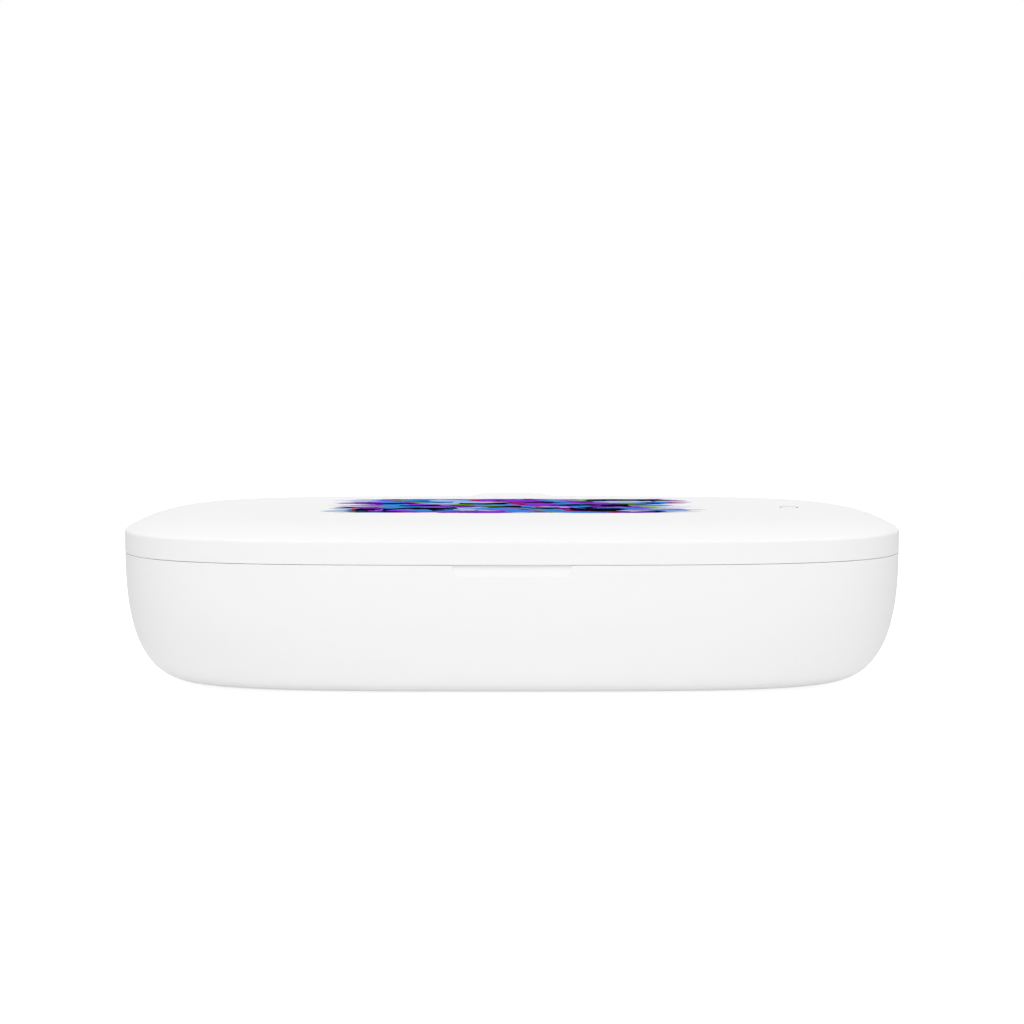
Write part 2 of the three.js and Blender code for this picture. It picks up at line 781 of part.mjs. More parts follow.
function innerPanel() {
  const flangeX = halfWidth - shellWall - looseGap;
  const flangeY = halfDepth - shellWall - looseGap;
  const flangeTopZ = panelFlangeZ + panelFlangeWall;
  const rings = [
    superRing(panelPanX, panelPanY, panelUnderZ),
    superRing(panelPanX, panelPanY, panelFlangeZ),
    superRing(flangeX, flangeY, panelFlangeZ),
    superRing(flangeX, flangeY, flangeTopZ),
    superRing(panelPanX - panelWall, panelPanY - panelWall, flangeTopZ),
    superRing(panelPanX - panelWall, panelPanY - panelWall, panelFloorZ),
  ];
  const standoffs = [];
  const stakes = [...lampStakes(-1), ...lampStakes(1), ...mainStakes, ...chargingStakes];
  for (const [x, y] of stakes) {
    standoffs.push(post(standoffRadius, panelFloorZ - bossSink, boardZ - slimGap, x, y));
    standoffs.push(
      post(stakeRadius, boardZ - bossSink, boardZ + boardThickness + stakeProud, x, y, leadSides),
    );
  }
  const cutters = [];
  for (const side of [-1, 1]) {
    const middle = side * lampX;
    cutters.push(
      block(
        middle - slotHalfLength,
        middle + slotHalfLength,
        -slotHalfWidth,
        slotHalfWidth,
        panelUnderZ - cutOverrun,
        panelFloorZ + cutOverrun,
      ),
    );
  }
  for (const x of mirrored(lidScrewX)) {
    for (const y of mirrored(lidScrewY)) {
      cutters.push(
        post(screwRadius + screwHoleGap, panelUnderZ - cutOverrun, panelFloorZ + cutOverrun, x, y),
      );
    }
  }
  const wellClear = hingeRadius + reliefGap + wellWall + looseGap;
  const wellEndX = earEndX + reliefGap + wellWall + looseGap;
  cutters.push(rodAlongX(wellClear, -wellEndX, wellEndX, axisY, axisZ));
  const halfSocket = socketWidth / 2 + looseGap;
  cutters.push(
    block(
      socketX - halfSocket,
      socketX + halfSocket,
      halfDepth - padDepth - shellWall - socketLength,
      halfDepth,
      socketZ - socketHeight / 2 - looseGap,
      socketZ + socketHeight,
    ),
  );
  return without(joined([loft(rings), ...standoffs]), cutters);
}

function lidGasket() {
  const inX = panelPanX + looseGap;
  const inY = panelPanY + looseGap;
  const outX = panelPanX + gasketWidth;
  const outY = panelPanY + gasketWidth;
  const lowZ = trayTopZ + gasketHeadroom;
  const highZ = panelFlangeZ - slimGap;
  return loft(
    [
      superRing(outX, outY, lowZ),
      superRing(outX, outY, highZ),
      superRing(inX, inY, highZ),
      superRing(inX, inY, lowZ),
    ],
    true,
  );
}

function lampWindowPlate() {
  const halfLength = slotHalfLength + lampWindowMargin;
  const halfWide = slotHalfWidth + lampWindowMargin;
  return block(-halfLength, halfLength, -halfWide, halfWide, 0, lampWindowThickness);
}

function stakedBoard(outline, stakes) {
  const holes = stakes.map(([x, y]) =>
    post(stakeRadius + stakeGap, boardZ - cutOverrun, boardZ + boardThickness + cutOverrun, x, y, leadSides),
  );
  return without(plate(outline, boardZ, boardZ + boardThickness), holes);
}

function mainBoard() {
  const halfNotch = socketWidth / 2 + looseGap;
  const frontY = socketRearY() - socketLength - looseGap;
  const notch = block(
    socketX - halfNotch,
    socketX + halfNotch,
    frontY,
    halfDepth,
    boardZ - cutOverrun,
    boardZ + boardThickness + cutOverrun,
  );
  return stakedBoard(mainBoardOutline, mainStakes).subtract(notch);
}

function lampBoard(side) {
  const low = side * lampX - lampBoardHalfLength;
  const high = side * lampX + lampBoardHalfLength;
  const wide = lampBoardHalfWidth;
  return stakedBoard([[low, -wide], [high, -wide], [high, wide], [low, wide]], lampStakes(side));
}

// A lamp package with its small dome, hanging below its board.
const lampSize = 3.5;
const lampBase = 0.7;
const lampDome = 0.4;
const lampDomeRadius = 1.2;
const lampSpacing = 10;

function uvLamp() {
  const half = lampSize / 2;
  const base = block(-half, half, -half, half, -lampBase, 0);
  const dome = post(
    lampDomeRadius / 2,
    -lampBase - lampDome,
    -lampBase + slimGap,
    0,
    0,
    smallSides,
    lampDomeRadius,
  );
  return base.add(dome);
}

// Charging socket
const socketWallThickness = 0.3;
const tongueHalfWidth = 3.3;
const tongueHalfHeight = 0.35;
const tongueBackset = 1;
const socketCorner = 1.4;

function socketRearY() {
  return rearWallY(socketX + socketWidth / 2 + socketOpening + padMargin) - padDepth;
}

// A stadium-like tube section along Y, from its mouth at the rear.
function socketBar(halfX, halfZ, corner, lowY, highY) {
  const shape = new THREE.Shape();
  shape.moveTo(-halfX + corner, -halfZ);
  shape.lineTo(halfX - corner, -halfZ);
  shape.absarc(halfX - corner, -halfZ + corner, corner, -Math.PI / 2, 0);
  shape.absarc(halfX - corner, halfZ - corner, corner, 0, Math.PI / 2);
  shape.absarc(-halfX + corner, halfZ - corner, corner, Math.PI / 2, Math.PI);
  shape.absarc(-halfX + corner, -halfZ + corner, corner, Math.PI, Math.PI * 1.5);
  const geometry = new THREE.ExtrudeGeometry(
    shape,
    { depth: highY - lowY, bevelEnabled: false, curveSegments: 3 },
  );
  geometry.rotateX(Math.PI / 2);
  geometry.translate(0, highY, 0);
  return solidOf(geometry);
}

function socketShell() {
  const halfX = socketWidth / 2;
  const halfZ = socketHeight / 2;
  const thin = socketWallThickness;
  const outside = socketBar(halfX, halfZ, socketCorner, -socketLength, 0);
  const inside = socketBar(
    halfX - thin,
    halfZ - thin,
    socketCorner - thin,
    -socketLength + tongueBackset,
    cutOverrun,
  );
  return outside.subtract(inside);
}

function socketTongue() {
  return block(
    -tongueHalfWidth,
    tongueHalfWidth,
    -socketLength + tongueBackset + slimGap,
    -tongueBackset,
    -tongueHalfHeight,
    tongueHalfHeight,
  );
}

// Wireless charging
const coilOuterRadius = 22;
const coilInnerRadius = 10;
const coilThickness = 1.2;
const ferriteRadius = 24;
const ferriteThickness = 1;
const coilZ = lidTopZ - lidTopWall - slimGap - coilThickness;
const ferriteZ = coilZ - slimGap - ferriteThickness;

function chargingCoil() {
  const disc = post(coilOuterRadius, 0, coilThickness, 0, 0, roundSides);
  return disc.subtract(post(coilInnerRadius, -cutOverrun, coilThickness + cutOverrun, 0, 0, roundSides));
}

// Button and its switch
const buttonTravel = 0.4;
const buttonFlangeRadius = 3.4;
const buttonFlangeHeight = 0.7;
const buttonHeadroom = 0.25; // between the button's flange and the lid
const stemRadius = 1.7;
const stemGap = 0.15;
const switchHalfSize = 3;
const switchHeight = 1.8;
const stemEngaged = 0.6;
const boardTopZ = boardZ + boardThickness;
const buttonUnderZ = lidTopZ - lidTopWall - buttonHeadroom - buttonFlangeHeight;

function powerButton() {
  const flange = post(buttonFlangeRadius, buttonUnderZ, buttonUnderZ + buttonFlangeHeight, 0, 0, roundSides);
  const cap = post(buttonRadius, buttonUnderZ, lidTopZ, 0, 0, roundSides);
  return flange.add(cap);
}

function switchBody() {
  const half = switchHalfSize;
  const topZ = boardTopZ + slimGap + switchHeight;
  const bore = post(
    stemRadius + stemGap,
    topZ - stemEngaged - buttonTravel - stemGap,
    topZ + cutOverrun,
    0,
    0,
  );
  return block(-half, half, -half, half, boardTopZ + slimGap, topZ).subtract(bore);
}

function switchStem() {
  const bodyTopZ = boardTopZ + slimGap + switchHeight;
  return post(stemRadius, bodyTopZ - stemEngaged, buttonUnderZ - slimGap, 0, 0);
}

// Chips and leads
const chipHalfSize = 3.5;
const chipHeight = 0.9;
const chipInset = 10; // from a board's inner end
const chipX = boardInnerX + chipInset;
const chipY = 19;
const chargerChipY = 3;
const leadRadius = 0.45;
const leadStep = 8; // steps of a lead are about this long

function chip() {
  const half = chipHalfSize;
  return block(-half, half, -half, half, 0, chipHeight);
}

// A sleeved lead along a smooth line through the points.
function lead(points) {
  const route = new THREE.CatmullRomCurve3(points.map(([x, y, z]) => new THREE.Vector3(x, y, z)));
  const shape = new THREE.Shape();
  shape.absarc(0, 0, leadRadius, 0, Math.PI * 2);
  const geometry = new THREE.ExtrudeGeometry(shape, {
    steps: Math.max(leadSides, Math.round(route.getLength() / leadStep)),
    curveSegments: leadQuarters,
    extrudePath: route,
  });
  return solidOf(geometry);
}

const leadLift = 0.6; // the leads' middles are this far above the boards
const leadZ = boardTopZ + leadLift;
const leadInset = 2; // from a board's inner end to where its leads are soldered
const mainLeadX = boardInnerX + leadInset;
const lampLeadInset = 3; // from a lamp board's end to where its lead is soldered
const chargerLeadReach = 4; // the lead to the charging board runs this far in front of the boards
const chargerLeadEndY = -9;
const coilLeadInset = 0.5;

function leadBetweenMainAndLamps() {
  const lampEnd = lampX + lampBoardHalfLength - lampLeadInset;
  const y = -lampLeadInset;
  return lead(
    [[mainLeadX, y + y, leadZ], [mainLeadX - lampLeadInset, y, leadZ + leadLift], [lampEnd, y, leadZ]],
  );
}

function leadBetweenLamps() {
  const end = lampX - lampBoardHalfLength + lampLeadInset;
  const y = -lampLeadInset;
  return lead([[end, y, leadZ], [0, y, leadZ], [-end, y, leadZ]]);
}

function leadToCharger() {
  const y = -boardHalfY - chargerLeadReach;
  const end = mainLeadX + lampLeadInset;
  const bend = boardInnerX - boardGap;
  const front = -ferriteRadius - chargerLeadReach;
  return lead([[end, chargerLeadEndY, leadZ], [bend, y, leadZ], [0, front, leadZ], [-bend, y, leadZ],
    [-end, chargerLeadEndY, leadZ]]);
}

function leadToCoil() {
  const y = -chargerLeadEndY;
  const start = -mainLeadX - lampLeadInset;
  const end = -coilOuterRadius - leadRadius - coilLeadInset;
  return lead([
    [start, y, leadZ],
    [(start + end) / 2, y + lampLeadInset, (leadZ + coilZ) / 2],
    [end, 0, coilZ + coilThickness / 2],
  ]);
}

// The whole box: the lid is hinged to the bowl, and the button slides in the lid
const box = new THREE.Group();
const base = new THREE.Group();
const lid = new THREE.Group();
const button = new THREE.Group();
box.add(base);
base.add(lid);
lid.add(button);
box.position.y = -(axisY + hingeRadius - halfDepth) / 2;

addPiece(base, "base_shell", baseShell(), whitePlastic);
addPiece(base, "chamber_tray", chamberTray(), linerPlastic);
addPiece(base, "floor_reflector", floorReflector(), mirrorSheet);
railShares.forEach((share, i) => {
  const railPlace = [share * floorHalfX, 0, mirrorZ + mirrorThickness + slimGap];
  addPiece(base, `phone_rail_${i + 1}`, phoneRail(), railSilicone, railPlace);
});
const corners = [
  ["front_left", -1, -1],
  ["front_right", 1, -1],
  ["rear_left", -1, 1],
  ["rear_right", 1, 1],
];
for (const [corner, sideX, sideY] of corners) {
  addPiece(base, `foot_${corner}`, rubberFoot(), footRubber, [sideX * footX, sideY * footY, 0]);
  const screwPlace = [sideX * baseScrewX, sideY * baseScrewY, bowlBottomZ];
  addPiece(base, `base_screw_${corner}`, crossScrew(baseScrewLength), steel, screwPlace);
}
addPiece(base, "hinge_pin", hingePin(), steel);

addPiece(lid, "lid_shell", lidShell(), whitePlastic);
addPiece(lid, "lid_inner_panel", innerPanel(), linerPlastic);
addPiece(lid, "lid_gasket", lidGasket(), siliconeGrey);
for (const [side, sign] of [["left", -1], ["right", 1]]) {
  const magnet = post(magnetRadius, 0, magnetHeight);
  const underFlange = trayTopZ - trayWall - slimGap - magnetHeight;
  addPiece(base, `base_magnet_${side}`, magnet, magnetPlate, [sign * magnetX, baseMagnetY, underFlange]);
  addPiece(
    lid,
    `lid_magnet_${side}`,
    magnet,
    magnetPlate,
    [sign * magnetX, lidMagnetY, panelFloorZ + slimGap],
  );
  addPiece(lid, `lamp_board_${side}`, lampBoard(sign), boardGreen);
  addPiece(
    lid,
    `lamp_window_${side}`,
    lampWindowPlate(),
    lampWindow,
    [sign * lampX, 0, panelFloorZ + slimGap],
  );
  mirrored(lampSpacing).forEach((offset, i) => {
    const place = [sign * lampX + offset, 0, boardZ - slimGap];
    addPiece(lid, `uv_lamp_${side}_${i + 1}`, uvLamp(), lampCeramic, place);
  });
}
addPiece(lid, "main_board", mainBoard(), boardGreen);
addPiece(lid, "charging_board", stakedBoard(chargingBoardOutline, chargingStakes), boardGreen);
addPiece(lid, "controller_chip", chip(), chipBlack, [chipX, chipY, boardTopZ + slimGap]);
addPiece(lid, "charger_chip", chip(), chipBlack, [-chipX, -chargerChipY, boardTopZ + slimGap]);
addPiece(lid, "socket_shell", socketShell(), steel, [socketX, socketRearY(), socketZ]);
addPiece(lid, "socket_tongue", socketTongue(), chipBlack, [socketX, socketRearY(), socketZ]);
addPiece(lid, "charging_coil", chargingCoil(), copper, [0, 0, coilZ]);
addPiece(
  lid,
  "ferrite_plate",
  post(ferriteRadius, ferriteZ, ferriteZ + ferriteThickness, 0, 0, roundSides),
  ferriteDark,
);
addPiece(lid, "switch_body", switchBody(), chipBlack, [buttonX, buttonY, 0]);
for (const [corner, sideX, sideY] of corners) {
  const screwPlace = [sideX * lidScrewX, sideY * lidScrewY, panelUnderZ - slimGap - screwHeadHeight];
  addPiece(lid, `lid_screw_${corner}`, crossScrew(lidScrewLength), steel, screwPlace);
}
addPiece(lid, "lead_main_to_lamps", leadBetweenMainAndLamps(), leadSleeve);
addPiece(lid, "lead_between_lamps", leadBetweenLamps(), leadSleeve);
addPiece(lid, "lead_main_to_charger", leadToCharger(), leadSleeve);
addPiece(lid, "lead_charger_to_coil", leadToCoil(), leadSleeve);

addPiece(button, "power_button", powerButton(), whitePlastic, [buttonX, buttonY, 0]);
addPiece(button, "switch_stem", switchStem(), railSilicone, [buttonX, buttonY, 0]);

export default box;
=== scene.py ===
"""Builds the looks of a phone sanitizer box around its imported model.

The shells, the turned pieces, the lamps and the coil are modelled again with fine, smooth surfaces. The other
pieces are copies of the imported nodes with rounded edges. Every piece rides on the body of its node.
"""

import json
import math

import bpy
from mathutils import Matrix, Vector


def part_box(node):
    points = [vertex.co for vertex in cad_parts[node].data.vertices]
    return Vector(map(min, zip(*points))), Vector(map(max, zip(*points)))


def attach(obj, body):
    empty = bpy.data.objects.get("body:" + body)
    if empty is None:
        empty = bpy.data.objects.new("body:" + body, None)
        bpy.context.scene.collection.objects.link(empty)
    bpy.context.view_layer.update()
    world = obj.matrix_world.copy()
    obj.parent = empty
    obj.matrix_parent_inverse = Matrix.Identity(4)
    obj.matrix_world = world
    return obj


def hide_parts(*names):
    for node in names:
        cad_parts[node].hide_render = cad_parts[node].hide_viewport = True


bl_info = {
    "name": "Phone sanitizer box",
    "version": (1, 0, 0),
    "blender": (4, 5, 0),
    "location": "View3D > Sidebar > Sanitizer Box",
    "description": "Models and finishes a phone sanitizer box around its packed model",
    "category": "Object",
}

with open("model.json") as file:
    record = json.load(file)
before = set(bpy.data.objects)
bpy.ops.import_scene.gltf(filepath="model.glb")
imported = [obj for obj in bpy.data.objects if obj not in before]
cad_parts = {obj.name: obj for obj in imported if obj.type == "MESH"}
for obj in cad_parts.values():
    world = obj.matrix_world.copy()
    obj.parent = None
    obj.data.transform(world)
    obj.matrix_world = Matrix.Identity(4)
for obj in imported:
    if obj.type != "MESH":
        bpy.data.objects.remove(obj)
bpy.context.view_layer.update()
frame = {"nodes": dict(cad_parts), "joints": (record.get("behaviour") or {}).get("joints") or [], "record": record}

MM = 0.001


def middle_of(node):
    """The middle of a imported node's box."""
    low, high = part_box(node)
    return (low + high) / 2


# The shells' outline is centred on the gasket, a little in front of the origin.
PLAN_Y = middle_of("lid_gasket").y
HINGE = next(joint for joint in frame["joints"] if joint["name"] == "lid_hinge")
AXIS_Y, AXIS_Z = HINGE["pos_m"][1:]

# The hinge barrel, from the middle along X. Its knuckle is the lid's, and its two ears are the bowl's.
BARREL_RADIUS = 4 * MM
BARREL_RELIEF = 0.5 * MM
BARREL_ROOM = BARREL_RADIUS + BARREL_RELIEF
KNUCKLE_HALF = 7 * MM
EAR_START = 7.2 * MM
EAR_SHOULDER = 8.6 * MM
EAR_END = 16.8 * MM
EAR_END_RADIUS = 2.5 * MM
EAR_BORE, KNUCKLE_BORE = 1.3 * MM, 1.35 * MM

# The lid's well for the barrel, the lid's roof and the hole for the button.
WELL_RADIUS = BARREL_ROOM + 1.2 * MM
ROOF = 2 * MM
DOME_POWER = 3.5
BUTTON_ROOM = 2.65 * MM

CORNERS = ("front_left", "front_right", "rear_left", "rear_right")
QUARTER = math.pi / 2

# Cuts run this far past the surface that they open, and points closer than this are one.
CLEAR = 3 * MM
MERGE = 0.002 * MM


def length(name, description, default):
    """A length in the panel, whose default is given in millimetres."""
    return bpy.props.FloatProperty(name=name, description=description, default=default * MM, unit="LENGTH")


def tint(name, description, default):
    return bpy.props.FloatVectorProperty(
        name=name, description=description, subtype="COLOR", default=default, min=0, max=1
    )


def strength(name, description, default):
    return bpy.props.FloatProperty(name=name, description=description, default=default)


class BoxSizes(bpy.types.PropertyGroup):
    """Sizes of the shells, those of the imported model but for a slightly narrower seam."""

    plan_power: bpy.props.FloatProperty(
        name="Plan power", description="How square the outline is from above", default=3.8, min=2, max=8
    )
    ring_points: bpy.props.IntProperty(
        name="Ring points", description="Points round the shells' outline", default=256, min=32, max=512
    )
    half_width: length("Half width", "Half the box's width", 107.5)
    half_depth: length("Half depth", "Half the box's depth, without the hinge", 59)
    wall: length("Wall", "Wall of the bowl and of the lid's sides", 2.4)
    underside: length("Underside", "Height of the bowl's underside", 0.5)
    rim: length("Rim", "Height of the bowl's rim", 37.83)
    lid_edge: length("Lid edge", "Height of the lid's lower edge", 37.95)
    crease: length("Crease", "Height of the edge where the dome starts", 44)
    crease_radius: length("Crease radius", "Rounding of the lid's upper edge", 1)
    dome_rise: length("Dome rise", "Height of the dome above the crease", 3.4)
    dome_run: length("Dome run", "From the outline in to the flat top", 33)
    edge_radius: length("Edge radius", "Rounding of the seam's two edges", 0.1)


class BoxFinishes(bpy.types.PropertyGroup):
    """Colours of the box's plastics, and the print's reach."""

    shell: tint("Shell", "White of the shells", (0.9, 0.9, 0.9))
    liner: tint("Liner", "Pale grey of the tray", (0.76, 0.77, 0.78))
    print_spread: length("Print half width", "Half the printed area's width", 56)
    print_reach: length("Print half depth", "Half the printed area's depth", 24)


class BoxStage(bpy.types.PropertyGroup):
    """Camera, lamps and ground."""

    camera_distance: length("Camera distance", "From the box's middle", 500)
    camera_height: length("Camera height", "Above the ground", 93.3)
    camera_tilt: bpy.props.FloatProperty(
        name="Camera tilt", description="Downwards from level", default=0.0943, subtype="ANGLE"
    )
    camera_lens: bpy.props.FloatProperty(name="Lens", description="Focal length in mm", default=61.09)
    sky_above: strength("Sky above", "Strength of the even light from overhead", 1.1)
    top_lamp: strength("Top lamp", "Strength of the lamp overhead", 1.8)
    rear_lamp: strength("Rear lamp", "Strength of the low lamp behind", 1.5)
    ground_glow: strength("Ground glow", "Light that the ground gives", 0.215)
    # A painted pool of light: the ground glows more in front of the box.
    ground_pool: strength("Ground pool", "Extra light from the ground in front of the box", 0.12)
    ground_seen: strength("Ground seen", "Glow of the ground that a viewer sees", 0.82)


# Modelling


def clear_selection():
    if bpy.context.object and bpy.context.object.mode != "OBJECT":
        bpy.ops.object.mode_set(mode="OBJECT")
    bpy.ops.object.select_all(action="DESELECT")


def take(piece):
    """Makes a piece the only one that is selected."""
    clear_selection()
    piece.select_set(True)
    bpy.context.view_layer.objects.active = piece


def settle(piece):
    """Puts a piece's place into its mesh."""
    take(piece)
    bpy.ops.object.transform_apply(location=True, rotation=True, scale=True)


def in_edit(piece):
    take(piece)
    bpy.ops.object.mode_set(mode="EDIT")
    bpy.ops.mesh.select_all(action="SELECT")


def out_of_edit():
    bpy.ops.object.mode_set(mode="OBJECT")


def close_edit():
    """Turns all faces outwards and leaves edit mode."""
    bpy.ops.mesh.select_all(action="SELECT")
    bpy.ops.mesh.normals_make_consistent(inside=False)
    out_of_edit()


def shares(steps, first=0):
    """Even shares up to 1, from 0 or from a later step."""
    return [k / steps for k in range(first, steps + 1)]


def superellipse(points, power):
    """The outline of a unit superellipse."""
    turns = [2 * math.pi * k / points for k in range(points)]
    circle = [(math.cos(turn), math.sin(turn)) for turn in turns]
    return [[math.copysign(abs(way) ** (2 / power), way) for way in point] for point in circle]


def loop(name, points, fill):
    """A ring of edges through points, in edit mode, with or without a face."""
    clear_selection()
    bpy.ops.mesh.primitive_circle_add(vertices=len(points), radius=1, fill_type=fill, location=(0, 0, 0))
    piece = bpy.context.object
    piece.name = name
    for vertex, point in zip(piece.data.vertices, points):
        vertex.co = point
    in_edit(piece)
    return piece


def stack_rings(name, rings, outline, centre=(0.0, 0.0)):
    """A closed body through flat rings, each (scale x, scale y, z), extruded one from the other."""
    piece = loop(name, [(x, y, 0) for x, y in outline], "NOTHING")
    scale_x, scale_y, z = rings[0]
    bpy.ops.transform.resize(value=(scale_x, scale_y, 1), center_override=(0, 0, 0))
    bpy.ops.transform.translate(value=(centre[0], centre[1], z))
    bpy.ops.mesh.edge_face_add()
    for next_x, next_y, next_z in rings[1:]:
        bpy.ops.mesh.extrude_region_move(TRANSFORM_OT_translate={"value": (0, 0, next_z - z)})
        bpy.ops.transform.resize(
            value=(next_x / scale_x, next_y / scale_y, 1), center_override=(centre[0], centre[1], next_z)
        )
        scale_x, scale_y, z = next_x, next_y, next_z
    close_edit()
    return piece


def prism(name, outline, low, high):
    """A bar along X with an outline of (y, z) points."""
    piece = loop(name, [(low, y, z) for y, z in outline], "NGON")
    bpy.ops.mesh.extrude_region_move(TRANSFORM_OT_translate={"value": (high - low, 0, 0)})
    close_edit()
    return piece


def slab(outline, low, high):
    """A bar along Y with an outline of (x, z) points."""
    piece = prism("slab", [(-x, z) for x, z in outline], low, high)
    piece.rotation_euler = (0, 0, QUARTER)
    settle(piece)
    return piece


def turned(name, profile, sides=48):
    """A body turned about the Z axis through (radius, height) points."""
    return stack_rings(name, [(radius, radius, z) for radius, z in profile], superellipse(sides, 2))


def post(name, radius, low, high, x, y, sides=64):
    """An upright cylinder."""
    clear_selection()
    bpy.ops.mesh.primitive_cylinder_add(
        vertices=sides, radius=radius, depth=high - low, location=(x, y, (low + high) / 2)
    )
    piece = bpy.context.object
    piece.name = name
    settle(piece)
    return piece


def along_hinge(piece):
    """Lays a piece that stands on the origin along the hinge axis, with its top to +X."""
    piece.rotation_euler = (0, QUARTER, 0)
    piece.location = (0, AXIS_Y, AXIS_Z)
    settle(piece)
    return piece


def rod(name, radius, half, sides=64):
    """A cylinder on the hinge axis that reaches as far to both sides of the middle."""
    return along_hinge(post(name, radius, -half, half, 0, 0, sides))


def block(name, low, high):
    clear_selection()
    low, high = Vector(low), Vector(high)
    bpy.ops.mesh.primitive_cube_add(size=1, location=(low + high) / 2)
    piece = bpy.context.object
    piece.name = name
    piece.scale = high - low
    settle(piece)
    return piece


def modify(piece, kind, **settings):
    """Adds a modifier with its settings to a piece and applies it."""
    take(piece)
    modifier = piece.modifiers.new(kind, kind)
    for key, value in settings.items():
        setattr(modifier, key, value)
    bpy.ops.object.modifier_apply(modifier=modifier.name)


def carve(piece, other, operation="DIFFERENCE"):
    """Cuts a body out of a piece, joins it to the piece or keeps what they share. The body is used up."""
    modify(piece, "BOOLEAN", operation=operation, solver="MANIFOLD", object=other)
    bpy.data.objects.remove(other)
    if not piece.data.polygons:
        raise RuntimeError(f"nothing is left of {piece.name}")
    return piece


def soften(piece, radius, angle=math.radians(35)):
    """Closes a piece, rounds the edges that are sharper than an angle and shades the rest smooth."""
    in_edit(piece)
    bpy.ops.mesh.remove_doubles(threshold=MERGE)
    bpy.ops.mesh.dissolve_degenerate(threshold=MERGE)
    bpy.ops.mesh.delete_loose()
    bpy.ops.mesh.select_all(action="SELECT")
    bpy.ops.mesh.fill_holes(sides=12)
    out_of_edit()
    bpy.ops.object.shade_smooth_by_angle(angle=angle)
    if radius:
        limits = {"limit_method": "ANGLE", "angle_limit": angle, "use_clamp_overlap": True}
        modify(piece, "BEVEL", width=radius, segments=2, miter_outer="MITER_ARC", **limits)
    modify(piece, "WEIGHTED_NORMAL", keep_sharp=True)
    return piece


def slot_of(node):
    return next(part["material_slot"] for part in frame["record"]["subparts"] if part["node"] == node)


def body_of(node):
    return next(body for body, nodes in frame["record"]["behaviour"]["bodies"].items() if node in nodes)


def merged_copy(node, flat=0.3):
    """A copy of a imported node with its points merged, and its faces where they are flat to some degrees."""
    source = frame["nodes"][node]
    clear_selection()
    piece = bpy.data.objects.new(f"{node}_dressed", source.data.copy())
    bpy.context.scene.collection.objects.link(piece)
    in_edit(piece)
    bpy.ops.mesh.remove_doubles(threshold=MERGE)
    bpy.ops.mesh.dissolve_limited(angle_limit=math.radians(flat))
    out_of_edit()
    return piece


made = {}
replaced = set()


def finish_of(node):
    """A node's own material, or that of its slot, made once."""
    key = node if node in FINISHES else slot_of(node)
    if key not in made:
        recipe, *looks = FINISHES[key]
        made[key] = recipe(key, *looks) if looks else recipe()
    return made[key]


def stand_for(piece, node):
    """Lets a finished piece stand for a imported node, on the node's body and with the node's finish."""
    piece.data.materials.clear()
    piece.data.materials.append(finish_of(node))
    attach(piece, body_of(node))
    slot_of(node)
    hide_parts(node)
    replaced.add(node)


def place_copies(pattern, nodes):
    """Copies a piece, modelled on the origin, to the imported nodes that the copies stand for."""
    soften(pattern, 0)
    for node in nodes:
        low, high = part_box(node)
        piece = copy_of(pattern, f"{node}_dressed")
        piece.location = ((low.x + high.x) / 2, (low.y + high.y) / 2, low.z)
        settle(piece)
        stand_for(piece, node)
    bpy.data.objects.remove(pattern)


# Shader building


class Value:
    """A shader socket that takes part in sums."""

    def __init__(self, finish, socket):
        self.finish = finish
        self.socket = socket

    def math(self, operation, *others):
        return self.finish.node("ShaderNodeMath", {"operation": operation}, self, *others)

    def __add__(self, other):
        return self.math("ADD", other)

    __radd__ = __add__

    def __sub__(self, other):
        return self.math("SUBTRACT", other)

    def __rsub__(self, other):
        return self.finish.node("ShaderNodeMath", {"operation": "SUBTRACT"}, other, self)

    def __mul__(self, other):
        return self.math("MULTIPLY", other)

    __rmul__ = __mul__

    def __truediv__(self, other):
        return self.math("DIVIDE", other)

    def __abs__(self):
        return self.math("ABSOLUTE")

    def __gt__(self, other):
        return self.math("GREATER_THAN", other)

    def __lt__(self, other):
        return self.math("LESS_THAN", other)

    def larger(self, other):
        return self.math("MAXIMUM", other)

    def ramp(self, low, high):
        """0 below low and 1 above high, with a straight rise between."""
        return self.finish.node("ShaderNodeMapRange", {"clamp": True}, self, low, high, 0.0, 1.0)


